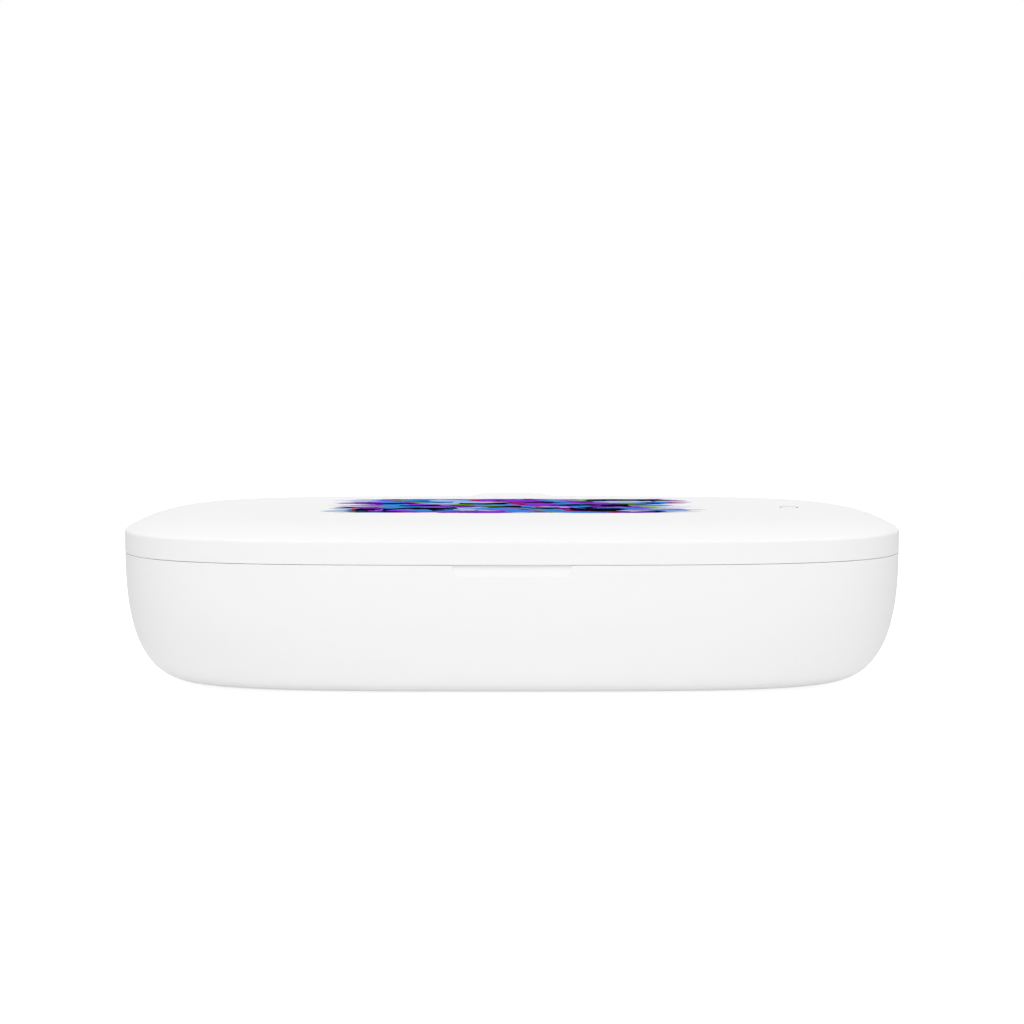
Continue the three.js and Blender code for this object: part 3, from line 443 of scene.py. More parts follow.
class Nodes:
    """The nodes of a material or of the world, and the shader that they feed."""

    def __init__(self, tree, shader):
        self.tree = tree
        self.shader = tree.nodes[shader]

    def place(self, target, value):
        """Gives a socket a link, a number or a vector, or a colour, which gets its alpha."""
        if isinstance(value, Value):
            self.tree.links.new(value.socket, target)
        elif target.type == "RGBA":
            target.default_value = (*value, 1.0)
        else:
            target.default_value = value

    def set(self, socket, value):
        """Gives one of the shader's sockets a number, a colour or a link."""
        self.place(self.shader.inputs[socket], value)

    def node(self, kind, settings=None, *values, output=0, **named):
        """A node with its settings, and numbers or links for its sockets, as a value."""
        node = self.tree.nodes.new(kind)
        for key, value in (settings or {}).items():
            if key == "stops":
                stops = node.color_ramp.elements
                while len(stops) < len(value):
                    stops.new(1.0)
                for stop, (position, colour) in zip(stops, value):
                    stop.position = position
                    stop.color = (*colour, 1.0)
            elif key == "interpolation":
                node.color_ramp.interpolation = value
            else:
                setattr(node, key, value)
        for target, value in zip(node.inputs, values):
            self.place(target, value)
        for key, value in named.items():
            self.place(node.inputs[key.replace("_", " ")], value)
        return Value(self, node.outputs[output])

    def at(self):
        """The point's place on the piece, in metres."""
        return self.node("ShaderNodeTexCoord", output="Object")

    def parts(self, vector):
        node = self.tree.nodes.new("ShaderNodeSeparateXYZ")
        self.place(node.inputs[0], vector)
        return [Value(self, output) for output in node.outputs]

    def noise(self, size, detail=2.0, roughness=0.5, at=None):
        """Noise from 0 to 1 with features of about a size in metres."""
        sockets = {"Vector": at or self.at(), "Scale": 1 / size, "Detail": detail, "Roughness": roughness}
        return self.node("ShaderNodeTexNoise", None, **sockets)

    def point(self, x, y):
        return self.node("ShaderNodeCombineXYZ", None, x, y, 0.0)

    def cells(self, size, distance="EUCLIDEAN", at=None):
        """A random number from 0 to 1 for each cell of about a size in metres."""
        sockets = {"Vector": at or self.at(), "Scale": 1 / size}
        return self.parts(self.node("ShaderNodeTexVoronoi", {"distance": distance}, output=1, **sockets))[0]

    def mix(self, share, first, second):
        """A mix of two colours."""
        node = self.tree.nodes.new("ShaderNodeMix")
        node.data_type = "RGBA"
        self.place(node.inputs[0], share)
        self.place(node.inputs[6], first)
        self.place(node.inputs[7], second)
        return Value(self, node.outputs[2])

    def bump(self, height, depth):
        """Relief of a depth in metres from a height of 0 to 1."""
        self.set("Normal", self.node("ShaderNodeBump", None, Height=height, Distance=depth))


class Finish(Nodes):
    """A material under construction, with its Principled shader."""

    def __init__(self, name, **constants):
        self.material = bpy.data.materials.new(name)
        self.material.use_nodes = True
        super().__init__(self.material.node_tree, "Principled BSDF")
        for socket, value in constants.items():
            self.set(socket.replace("_", " "), value)


# Finishes


def shade_of(colour, share):
    """A darker shade of a colour."""
    return tuple(channel * share for channel in colour)


def satin(finish, colour, roughness, grain=0.35 * MM, depth=0.004 * MM, drift=0.012, gloss_drift=0.06):
    """Moulded plastic: a fine spark-eroded grain, and a faint drift in colour and in gloss."""
    cloud = finish.noise(38 * MM, 3.0)
    finish.set("Roughness", roughness + (cloud - 0.5) * gloss_drift)
    finish.bump(finish.noise(grain), depth)
    return finish.mix(cloud, shade_of(colour, 1 - drift), colour)


def white_shell(name):
    """The shells' white, as a material under construction."""
    finish = Finish(name, IOR=1.46, Specular_IOR_Level=0.04)
    finish.set("Base Color", satin(finish, tuple(bpy.context.scene.box_finishes.shell), 0.75))
    return finish


def shell_finish():
    return white_shell("shell_white").material


BLACK, PURPLE, BLUE = (0.004, 0.003, 0.007), (0.24, 0.035, 0.62), (0.04, 0.24, 0.7)
GREEN, MAGENTA, PALE = (0.13, 0.3, 0.015), (0.4, 0.01, 0.13), (0.75, 0.8, 0.95)
PRINT_SWEEPS = [(0.0, PURPLE), (0.3, BLUE), (0.5, PURPLE), (0.6, GREEN), (0.68, BLUE), (0.9, MAGENTA)]
PRINT_BACK = 5 * MM


def printed(finish, x, y):
    """Colours of the print's brush strokes, and a mask of the area that they cover."""
    finishes = bpy.context.scene.box_finishes
    streak, strand, sway, wave, dab = 5 * MM, 2 * MM, 34 * MM, 4 * MM, 4.6 * MM
    along = x / finishes.print_spread
    across = (y - (PLAN_Y + PRINT_BACK)) / finishes.print_reach
    streaks = finish.noise(streak, 3.0, at=finish.point(x * 0.3, y))
    strands = finish.noise(strand, at=finish.point(x * 0.07, y)) - 0.5
    bend = finish.noise(sway, 1.0) - 0.5
    sweep = (along * 1.1 + across * 0.5 + bend * 1.2 + (streaks - 0.5) * 0.4 + 8).math("FRACT")
    inks = finish.node("ShaderNodeValToRGB", {"interpolation": "CONSTANT", "stops": PRINT_SWEEPS}, sweep)
    wobble = (finish.noise(wave) - 0.5) * wave
    pick = finish.cells(dab, at=finish.point(x * 0.42 + wobble * 0.5, y + wobble))
    inks = finish.mix((pick > 0.72).larger(streaks > 0.6), inks, BLACK)
    inks = finish.mix((pick < 0.14) * 0.45, inks, PALE)
    ends = abs(along) + strands * 0.9 < 0.85
    sides = abs(across) + bend * 0.3 + (streaks - 0.5) * 0.25 < 0.9
    return inks, ends * sides


def lid_finish():
    """The lid's white, with a print of brush strokes on its flat top, and painted shade in the button's hole."""
    sizes = bpy.context.scene.box_sizes
    print_drop, wall_depth = 1.2 * MM, 0.02 * MM
    finish = white_shell("lid_white_printed")
    white = finish.shader
    x, y, z = finish.parts(finish.at())
    inks, inside = printed(finish, x, y)
    top = z > (sizes.crease + sizes.dome_rise - print_drop)
    button = middle_of("power_button")
    from_x, from_y = x - button.x, y - button.y
    # The button hole's wall is painted near black, a painted shade for the dark gap round the button.
    hole = (from_x * from_x + from_y * from_y).math("SQRT") < BUTTON_ROOM + wall_depth
    finish.shader = finish.tree.nodes.new("ShaderNodeBsdfPrincipled")
    finish.set("Base Color", finish.mix(hole, inks, (0.05, 0.05, 0.055)))
    finish.set("Roughness", 0.6)
    finish.set("Specular IOR Level", 0.0)
    blend = finish.tree.nodes.new("ShaderNodeMixShader")
    finish.place(blend.inputs[0], (inside * top).larger(hole))
    finish.tree.links.new(white.outputs[0], blend.inputs[1])
    finish.tree.links.new(finish.shader.outputs[0], blend.inputs[2])
    finish.tree.links.new(blend.outputs[0], finish.tree.nodes["Material Output"].inputs["Surface"])
    return finish.material


def liner_finish():
    finish = Finish("liner_satin", IOR=1.46)
    finish.set("Base Color", satin(finish, tuple(bpy.context.scene.box_finishes.liner), 0.35))
    return finish.material


def mirror_finish():
    finish = Finish("mirror_sheet", Base_Color=(0.86, 0.87, 0.88), Metallic=1.0)
    streaks = finish.noise(60 * MM, 6.0, 0.7)
    finish.set("Roughness", 0.05 + streaks * 0.07)
    finish.bump(finish.noise(24 * MM, 1.0), 0.02 * MM)
    return finish.material


def metal_finish(name, colour, roughness):
    finish = Finish(name, Metallic=1.0)
    wear = finish.noise(2.5 * MM, 4.0, 0.6)
    finish.set("Base Color", finish.mix(wear, shade_of(colour, 0.85), colour))
    finish.set("Roughness", roughness + (wear - 0.5) * 0.12)
    finish.bump(finish.noise(0.3 * MM), 0.003 * MM)
    return finish.material


def matt_finish(name, colour, roughness):
    finish = Finish(name)
    cloud = finish.noise(5 * MM, 3.0)
    finish.set("Base Color", finish.mix(cloud, shade_of(colour, 0.85), colour))
    finish.set("Roughness", roughness + (cloud - 0.5) * 0.1)
    finish.bump(finish.noise(0.25 * MM), 0.01 * MM)
    return finish.material


def board_finish():
    """Green solder mask over bundles of copper tracks, with tinned holes."""
    cell, pitch = 7 * MM, 0.9 * MM
    track_share, hole_radius_squared = 0.45, 0.02
    # Keeps a count of steps above 0, with the half for a hole's centre at 0.
    offset = 200.5
    finish = Finish("board_green")
    x, y, _ = finish.parts(finish.at())
    pick = finish.cells(cell, "CHEBYCHEV")
    along, across = ((way / pitch + offset).math("FRACT") for way in (x, y))
    tracks = ((pick < 0.36) * (across < track_share)).larger((pick > 0.6) * (along < track_share))
    hole_x, hole_y = ((way / (3 * pitch) + offset).math("FRACT") - 0.5 for way in (x, y))
    holes = (hole_x * hole_x + hole_y * hole_y < hole_radius_squared) * (pick > 0.3) * (pick < 0.7)
    cloud = finish.noise(1.2 * MM)
    mask = finish.mix(tracks, (0.008, 0.1, 0.04), (0.02, 0.19, 0.07))
    finish.set("Base Color", finish.mix(holes, mask, (0.62, 0.6, 0.55)))
    finish.set("Metallic", holes)
    finish.set("Roughness", 0.3 + cloud * 0.1)
    finish.bump(tracks, 0.03 * MM)
    return finish.material


def lamp_finish():
    """Off-white ceramic with a quartz lens, which is below the package, and a gilt chip under the lens."""
    finish = Finish("lamp_ceramic")
    x, y, z = finish.parts(finish.at())
    inner, outer = middle_of("uv_lamp_right_1"), middle_of("uv_lamp_right_2")
    lens_depth, chip_half = 0.5 * MM, 0.5 * MM
    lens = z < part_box("uv_lamp_right_1")[0].z + lens_depth
    from_x = abs(abs(abs(x) - (inner.x + outer.x) / 2) - (outer.x - inner.x) / 2)
    chip = lens * (from_x < chip_half) * (abs(y - inner.y) < chip_half)
    cloud = finish.noise(1 * MM)
    body = finish.mix(cloud, (0.7, 0.67, 0.56), (0.76, 0.74, 0.63))
    finish.set("Base Color", finish.mix(chip, finish.mix(lens, body, (0.5, 0.52, 0.66)), (0.45, 0.3, 0.08)))
    finish.set("Roughness", 0.45 - lens * 0.35)
    finish.bump(cloud, 0.003 * MM)
    return finish.material


def tongue_finish():
    """Black tongue with a row of gilt contacts."""
    finish = Finish("tongue_black")
    x, y, _ = finish.parts(finish.at())
    low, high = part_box("socket_tongue")
    row_half, pitch, root, tip = 2.9 * MM, 0.5 * MM, 2.4 * MM, 0.5 * MM
    row = abs(x - (low.x + high.x) / 2) < row_half
    strips = (((x - low.x) / pitch + 0.25).math("FRACT") < 0.5) * row
    contacts = strips * (y > high.y - root) * (y < high.y - tip)
    cloud = finish.noise(0.8 * MM)
    finish.set("Base Color", finish.mix(contacts, (0.02, 0.02, 0.021), (0.78, 0.5, 0.16)))
    finish.set("Metallic", contacts)
    finish.set("Roughness", 0.45 + cloud * 0.1 - contacts * 0.25)
    finish.bump(cloud, 0.004 * MM)
    return finish.material


def glass_finish():
    finish = Finish("quartz_window", Base_Color=(0.93, 0.97, 1.0), Transmission_Weight=1.0, IOR=1.46)
    finish.set("Roughness", 0.02 + finish.noise(10 * MM) * 0.02)
    return finish.material


FINISHES = {
    "shell_white": (shell_finish,),
    "lid_shell": (lid_finish,),
    "liner_plastic": (liner_finish,),
    "mirror_sheet": (mirror_finish,),
    "board_green": (board_finish,),
    "lamp_ceramic": (lamp_finish,),
    "lamp_window": (glass_finish,),
    "socket_tongue": (tongue_finish,),
    "screw_steel": (metal_finish, (0.62, 0.62, 0.63), 0.32),
    "pin_steel": (metal_finish, (0.66, 0.66, 0.67), 0.25),
    "magnet_nickel": (metal_finish, (0.66, 0.65, 0.62), 0.2),
    "socket_steel": (metal_finish, (0.6, 0.6, 0.61), 0.28),
    "coil_copper": (metal_finish, (0.7, 0.3, 0.14), 0.35),
    "gasket_silicone": (matt_finish, (0.42, 0.43, 0.44), 0.75),
    "rail_silicone": (matt_finish, (0.8, 0.81, 0.82), 0.5),
    "foot_rubber": (matt_finish, (0.03, 0.03, 0.032), 0.85),
    "chip_black": (matt_finish, (0.02, 0.02, 0.021), 0.5),
    "ferrite": (matt_finish, (0.05, 0.05, 0.052), 0.6),
    "lead_sleeve": (matt_finish, (0.5, 0.03, 0.02), 0.45),
}


# Shells


def bowl_rings(sizes):
    """Outer and inner surface of the bowl, from the middle of the underside round the rim to the floor."""
    curve_height, curve_power = 39.2 * MM, 2.78
    inset_x, inset_y = 20.8 * MM, 30.2 * MM
    flange, ledge_width, ledge_height = 1.7 * MM, 1.6 * MM, 2 * MM

    def ring(turn, wall):
        drawn_in = 1 - math.cos(turn) ** (2 / curve_power)
        rise = 1 - math.sin(turn) ** (2 / curve_power)
        return (
            sizes.half_width - wall - inset_x * drawn_in,
            sizes.half_depth - wall - inset_y * drawn_in,
            sizes.underside + wall + (curve_height - wall) * rise,
        )

    def turn_at(z, wall):
        rise = (z - sizes.underside - wall) / (curve_height - wall)
        return math.asin((1 - rise) ** (curve_power / 2))

    edge = sizes.edge_radius
    top_turn = turn_at(sizes.rim - edge, 0)
    rings = [ring(QUARTER + (top_turn - QUARTER) * share, 0) for share in shares(36)]
    flare_x, flare_y, _ = rings[-1]
    for share in shares(4, 1):
        inset = edge * (1 - math.cos(QUARTER * share))
        rings.append((flare_x - inset, flare_y - inset, sizes.rim - edge + edge * math.sin(QUARTER * share)))
    straight_x = sizes.half_width - sizes.wall
    straight_y = sizes.half_depth - sizes.wall
    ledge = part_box("chamber_tray")[1].z - flange
    for inset, z in ((-edge / 2, sizes.rim), (0, sizes.rim - edge / 2), (0, ledge), (ledge_width, ledge)):
        rings.append((straight_x - inset, straight_y - inset, z))
    inner_turn = turn_at(ledge - ledge_height, sizes.wall)
    return rings + [ring(inner_turn + (QUARTER - inner_turn) * share, sizes.wall) for share in shares(14)]


def dome_height(sizes, inset):
    return sizes.dome_rise * (1 - (1 - min(inset / sizes.dome_run, 1)) ** DOME_POWER)


def lid_outer_rings(sizes):
    """The lid's outside, from its lower edge to the flat top."""
    width, depth = sizes.half_width, sizes.half_depth
    edge, radius = sizes.edge_radius, sizes.crease_radius
    rings = []
    for share in shares(4):
        inset = edge * (1 - math.sin(QUARTER * share))
        rings.append((width - inset, depth - inset, sizes.lid_edge + edge * (1 - math.cos(QUARTER * share))))
    bend = QUARTER - math.atan(sizes.dome_rise * DOME_POWER / sizes.dome_run)
    centre_z = sizes.crease - radius * math.tan(bend / 2)
    for share in shares(8):
        inset = radius * (1 - math.cos(bend * share))
        rings.append((width - inset, depth - inset, centre_z + radius * math.sin(bend * share)))
    start = radius * (1 - math.cos(bend))
    for share in shares(28, 1):
        inset = start + (sizes.dome_run - start) * share
        rings.append((width - inset, depth - inset, sizes.crease + dome_height(sizes, inset)))
    return rings


def lid_inner_rings(sizes):
    """The lid's inside, from the middle to its lower edge."""
    straight_x = sizes.half_width - sizes.wall
    straight_y = sizes.half_depth - sizes.wall
    rings = []
    for share in shares(12):
        inset = (sizes.dome_run - sizes.wall) * (1 - share)
        z = sizes.crease - ROOF + dome_height(sizes, inset + sizes.wall)
        rings.append((straight_x - inset, straight_y - inset, z))
    rings.append((straight_x, straight_y, sizes.lid_edge))
    return rings


def finger_notch(sizes):
    """A slanting cut that starts at the surface and is deepest at the rim, with round lower corners."""
    depth, height = 0.6 * MM, 2.98 * MM
    half, corner = 15.3 * MM, 2.6 * MM
    front = PLAN_Y - sizes.half_depth
    low = sizes.rim - height
    slant = [
        (front - CLEAR, low - CLEAR * height / depth),
        (front + depth + CLEAR * depth / height, sizes.rim + CLEAR),
        (front - CLEAR, sizes.rim + CLEAR),
    ]
    outline = [(-half, sizes.rim + 3 * CLEAR), (half, sizes.rim + 3 * CLEAR)]
    for start, x in ((0, half - corner), (QUARTER, corner - half)):
        for share in shares(12):
            turn = start + QUARTER * share
            outline.append((x + corner * math.cos(turn), low + corner * (1 - math.sin(turn))))
    face = slab(outline, front - CLEAR, front + depth + 2 * CLEAR)
    return carve(prism("notch", slant, -half, half), face, "INTERSECT")


def ear_taper():
    """The barrel's hollow taper from the shoulder to the end, as distances from the middle and radii."""
    power = 1.4
    long, deep = EAR_END - EAR_SHOULDER, BARREL_RADIUS - EAR_END_RADIUS
    return [(EAR_SHOULDER + long * way, EAR_END_RADIUS + deep * (1 - way) ** power) for way in shares(12)]


def ear_turning(grow, low):
    """The hinge barrel's tapered end, turned about the hinge axis, pointing to +X."""
    profile = [(BARREL_RADIUS + grow, low)] + [(radius + grow, x + grow) for x, radius in ear_taper()]
    return along_hinge(turned("ear", profile, 64))


def saddle(sizes):
    """The foot that carries both ears: a swelling of the bowl's rear wall that widens upwards."""
    height, overlap, narrow = 12 * MM, 1 * MM, 0.55
    front = PLAN_Y + sizes.half_depth - sizes.wall
    right = [(x, AXIS_Y + radius - front) for x, radius in [(EAR_START, BARREL_RADIUS), *ear_taper()]]
    outline = [(EAR_END, 0), *reversed(right), *((-x, y) for x, y in right), (-EAR_END, 0)]
    sunk = (sizes.wall - overlap) / (AXIS_Y + BARREL_RADIUS - front)
    low = sizes.rim - height
    rings = []
    for share in shares(24):
        swell = (1 - math.cos(math.pi * share)) / 2
        rings.append((narrow + (1 - narrow) * swell, sunk + (1 - sunk) * swell, low + (AXIS_Z - low) * share))
    return stack_rings("saddle", rings, outline, (0, front))


def neck_outline(sizes):
    """The slope between the lid's top and the hinge barrel, as (y, z) points."""
    run, thick = 3 * MM, 2 * MM
    front_y = AXIS_Y - WELL_RADIUS
    end_y = front_y - run
    end_z = sizes.crease + dome_height(sizes, PLAN_Y + sizes.half_depth - end_y)
    crown = [(AXIS_Y, AXIS_Z), (AXIS_Y, AXIS_Z + BARREL_RADIUS)]
    return crown + [(end_y, end_z), (end_y, end_z - thick), (front_y, AXIS_Z)]


def brow(sizes):
    """The lid's swelling in front of the hinge barrel, as wide as the barrel and sloping to the front."""
    start, below_barrel, below_neck = 0.6 * MM, 0.12 * MM, 0.05 * MM
    front_room, rear_gap, taper_steps = 2 * MM, 1 * MM, 10
    low = sizes.crease + start
    right = [(x, AXIS_Z + radius - below_barrel) for x, radius in ear_taper()[:taper_steps]]
    half = right[-1][0]
    outline = [(half, low), *reversed(right), *((-x, z) for x, z in right), (-half, low)]
    neck = neck_outline(sizes)
    face = slab(outline, neck[2][0] - front_room, AXIS_Y - rear_gap)
    return carve(prism("brow", [(y, z - below_neck) for y, z in neck], -half, half), face, "INTERSECT")


def copy_of(piece, name):
    """A copy with its own mesh."""
    clear_selection()
    copy = piece.copy()
    copy.data = piece.data.copy()
    copy.name = name
    bpy.context.scene.collection.objects.link(copy)
    return copy


def other_side(piece):
    """A mirrored copy on the other side of the middle."""
    copy = copy_of(piece, f"{piece.name}_mirrored")
    copy.scale = (-1, 1, 1)
    settle(copy)
    in_edit(copy)
    close_edit()
    return copy


class BOX_OT_bowl(bpy.types.Operator):
    """Models the bowl with its finger notch and hinge ears"""

    bl_idname = "sanitizer_box.bowl"
    bl_label = "Bowl"

    def execute(self, context):
        sizes = context.scene.box_sizes
        outline = superellipse(sizes.ring_points, sizes.plan_power)
        bowl = stack_rings("bowl", bowl_rings(sizes), outline, (0, PLAN_Y))
        carve(bowl, finger_notch(sizes))
        pocket, pocket_slack = 6.3 * MM, 0.1 * MM
        head_room, head_depth = 2.8 * MM, 1.3 * MM
        shank_room, shank_top = 1.45 * MM, 6 * MM
        for corner in CORNERS:
            foot, screw = middle_of(f"foot_{corner}"), middle_of(f"base_screw_{corner}")
            foot_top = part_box(f"foot_{corner}")[1].z
            carve(bowl, post("pocket", pocket, -CLEAR, foot_top + pocket_slack, foot.x, foot.y))
            carve(bowl, post("head_room", head_room, -CLEAR, sizes.underside + head_depth, screw.x, screw.y))
            carve(bowl, post("shank_room", shank_room, -CLEAR, shank_top, screw.x, screw.y, 32))
        swelling = saddle(sizes)
        carve(swelling, rod("knuckle_room", BARREL_ROOM, EAR_START, 96))
        carve(bowl, swelling, "UNION")
        ear = ear_turning(0, EAR_START)
        other = other_side(ear)
        carve(bowl, ear, "UNION")
        carve(bowl, other, "UNION")
        carve(bowl, rod("bore", EAR_BORE, EAR_END + CLEAR, 32))
        soften(bowl, 0)
        stand_for(bowl, "base_shell")
        return {"FINISHED"}


def add_well(lid, full, sizes):
    """Adds the well for the hinge barrel and the swelling in front, and cuts room for the bowl's ears."""
    outside, inside = 18.5 * MM, 17.3 * MM
    carve(lid, carve(rod("well", WELL_RADIUS, outside), full, "INTERSECT"), "UNION")
    carve(lid, brow(sizes), "UNION")
    ear_room = ear_turning(BARREL_RELIEF, 0)
    other = other_side(ear_room)
    carve(lid, ear_room)
    carve(lid, other)
    low = (-inside, AXIS_Y - BARREL_ROOM, sizes.lid_edge - CLEAR)
    carve(lid, block("below", low, (inside, PLAN_Y + sizes.half_depth + CLEAR, AXIS_Z)))


def add_bosses(lid, sizes):
    """Adds a bored boss for each of the lid's screws."""
    radius, core, above_panel, boss_end, core_end = 3 * MM, 1.25 * MM, 1.5 * MM, 0.6 * MM, 1.2 * MM
    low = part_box("lid_inner_panel")[0].z + above_panel
    ceiling = sizes.crease + sizes.dome_rise - ROOF
    for corner in CORNERS:
        screw = middle_of(f"lid_screw_{corner}")
        carve(lid, post("boss", radius, low, ceiling - boss_end, screw.x, screw.y, 32), "UNION")
        carve(lid, post("core", core, low - CLEAR, ceiling - core_end, screw.x, screw.y, 24))


def cut_socket(lid, sizes):
    """Cuts the flat place for the plug into the lid's rear, and the socket's mouth."""
    slack, pad, depth = 0.2 * MM, 1.6 * MM, 5 * MM
    low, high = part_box("socket_shell")
    left, right = low.x - slack, high.x + slack
    rear = PLAN_Y + sizes.half_depth + CLEAR
    recess_low = (left - pad, high.y, sizes.lid_edge - CLEAR)
    carve(lid, block("recess", recess_low, (right + pad, rear, sizes.crease + CLEAR)))
    carve(lid, block("mouth", (left, high.y - depth, low.z - slack), (right, rear, high.z + slack)))


class BOX_OT_lid(bpy.types.Operator):
    """Models the domed lid with its hinge knuckle, button hole and socket recess"""

    bl_idname = "sanitizer_box.lid"
    bl_label = "Lid"

    def execute(self, context):
        sizes = context.scene.box_sizes
        outer = lid_outer_rings(sizes)
        plan = (superellipse(sizes.ring_points, sizes.plan_power), (0, PLAN_Y))
        lid = stack_rings("lid", lid_inner_rings(sizes) + outer, *plan)
        add_well(lid, stack_rings("full", outer, *plan), sizes)
        add_bosses(lid, sizes)
        button, top, hole_depth = middle_of("power_button"), sizes.crease + sizes.dome_rise, 5 * MM
        carve(lid, post("button_hole", BUTTON_ROOM, top - hole_depth, top + CLEAR, button.x, button.y))
        cut_socket(lid, sizes)
        carve(lid, rod("knuckle", BARREL_RADIUS, KNUCKLE_HALF), "UNION")
        carve(lid, prism("neck", neck_outline(sizes), -KNUCKLE_HALF, KNUCKLE_HALF), "UNION")
        carve(lid, rod("bore", KNUCKLE_BORE, KNUCKLE_HALF + CLEAR, 32))
        soften(lid, 0)
        stand_for(lid, "lid_shell")
        return {"FINISHED"}


# Small pieces


FEET = tuple(f"foot_{corner}" for corner in CORNERS)
SCREWS = tuple(tuple(f"{part}_screw_{corner}" for corner in CORNERS) for part in ("base", "lid"))
MAGNETS = tuple(f"{part}_magnet_{side}" for part in ("base", "lid") for side in ("left", "right"))
LAMPS = tuple(f"uv_lamp_{side}_{number}" for side in ("left", "right") for number in (1, 2))
CHIPS = ("controller_chip", "charger_chip")
LEADS = ("lead_main_to_lamps", "lead_between_lamps", "lead_main_to_charger", "lead_charger_to_coil")


def round_edge(radius, edge, low=0):
    """The profile of the round lower edge of a disc."""
    sunk = 0.3 * edge
    return [(radius - edge, low), (radius - sunk, low + sunk), (radius, low + edge)]


def upside_down(profile, height):
    return [(radius, height - z) for radius, z in reversed(profile)]


def disc_profile(node, edge):
    """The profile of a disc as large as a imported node, with round edges."""
    low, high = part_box(node)
    lower = round_edge((high.x - low.x) / 2, edge)
    return lower + upside_down(lower, high.z - low.z)


class BOX_OT_feet(bpy.types.Operator):
    """Turns one rubber foot with a groove round its sole, and copies it to the four corners"""

    bl_idname = "sanitizer_box.feet"
    bl_label = "Feet"

    def execute(self, context):
        rim = disc_profile(FEET[0], 0.2 * MM)
        radius, groove = rim[2][0], 0.15 * MM
        sole = [(1.7 * MM, 0), (1.5 * MM, groove), (1.2 * MM, groove), (1 * MM, 0)]
        place_copies(turned("foot", [(radius - inset, z) for inset, z in sole] + rim, 64), FEET)
        return {"FINISHED"}


class BOX_OT_screws(bpy.types.Operator):
    """Turns a screw of each length, cuts its cross and copies it"""

    bl_idname = "sanitizer_box.screws"
    bl_label = "Screws"

    def execute(self, context):
        head, thick, edge = 2.5 * MM, 1.2 * MM, 0.1 * MM
        flat_inset, flat_rise, side_rise = 0.35 * MM, 0.07 * MM, 0.25 * MM
        shank, core, pitch, tip, plain_end = 1.15 * MM, 0.9 * MM, 0.9 * MM, 0.4 * MM, 0.6 * MM
        long, thin, deep = 1.4 * MM, 0.3 * MM, 0.6 * MM
        thread = ((core, 0), (shank, 0.3), (shank, 0.4), (core, 0.7))
        crown = [(head - flat_inset, 0), (head - edge, flat_rise), (head, side_rise)]
        crown += [(head, thick - edge), (head - edge, thick), (core, thick)]
        for nodes in SCREWS:
            low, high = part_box(nodes[0])
            end = high.z - low.z
            profile = list(crown)
            for k in range(int((end - thick - plain_end) / pitch)):
                start = thick + edge + k * pitch
                profile += [(radius, start + share * pitch) for radius, share in thread]
            screw = turned("screw", profile + [(core, end - tip), (core / 2, end)], 32)
            carve(screw, block("slot", (-long, -thin, -deep), (long, thin, deep)))
            carve(screw, block("slot", (-thin, -long, -deep), (thin, long, deep)))
            place_copies(screw, nodes)
        return {"FINISHED"}


class BOX_OT_discs(bpy.types.Operator):
    """Turns the magnets, the ferrite plate, the switch's stem and the button"""

    bl_idname = "sanitizer_box.discs"
    bl_label = "Discs"

    def execute(self, context):
        place_copies(turned("magnet", disc_profile(MAGNETS[0], 0.25 * MM)), MAGNETS)
        place_copies(turned("ferrite", disc_profile("ferrite_plate", 0.15 * MM), 96), ["ferrite_plate"])
        place_copies(turned("stem", disc_profile("switch_stem", 0.15 * MM)), ["switch_stem"])
        low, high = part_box("power_button")
        flange, thick = (high.x - low.x) / 2, 0.7 * MM
        cap, edge = 2.3 * MM, 0.12 * MM
        profile = [(flange - edge, 0), (flange, edge), (flange, thick - edge), (flange - edge, thick)]
        profile += [(cap, thick), *upside_down(round_edge(cap, edge), high.z - low.z)]
        place_copies(turned("button", profile, 64), ["power_button"])
        return {"FINISHED"}


class BOX_OT_pin(bpy.types.Operator):
    """Turns the hinge pin, with round ends"""

    bl_idname = "sanitizer_box.pin"
    bl_label = "Hinge pin"

    def execute(self, context):
        low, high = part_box("hinge_pin")
        end = round_edge((high.z - low.z) / 2, 0.3 * MM, low.x)
        pin = along_hinge(turned("hinge_pin_dressed", end + upside_down(end, 0)))
        stand_for(soften(pin, 0), "hinge_pin")
        return {"FINISHED"}


class BOX_OT_lamps(bpy.types.Operator):
    """Models one lamp, a ceramic package with a cup and a domed lens, and copies it to its four places"""

    bl_idname = "sanitizer_box.lamps"
    bl_label = "Lamps"

    def execute(self, context):
        low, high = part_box(LAMPS[0])
        half, height = (high.x - low.x) / 2, high.z - low.z
        package, lip, slope = 0.7 * MM, 0.3 * MM, 0.45 * MM
        lens_radius, lens_tip, sunk = 1.2 * MM, 0.05 * MM, 0.1 * MM
        sides, squareness = 48, 10
        mouth = height - package
        cup = [(half, height), (half, mouth), (half - lip, mouth), (half - slope, mouth + 1.5 * sunk)]
        lamp = stack_rings("lamp", [(size, size, z) for size, z in cup], superellipse(sides, squareness))
        lens = [(lens_radius, mouth + 3 * sunk)]
        for share in shares(8)[:-1]:
            turn = QUARTER * share
            lens.append((lens_radius * math.cos(turn), (mouth + sunk) * (1 - math.sin(turn))))
        carve(lamp, turned("lens", lens + [(lens_tip, 0)], 32), "UNION")
        place_copies(lamp, LAMPS)
        return {"FINISHED"}


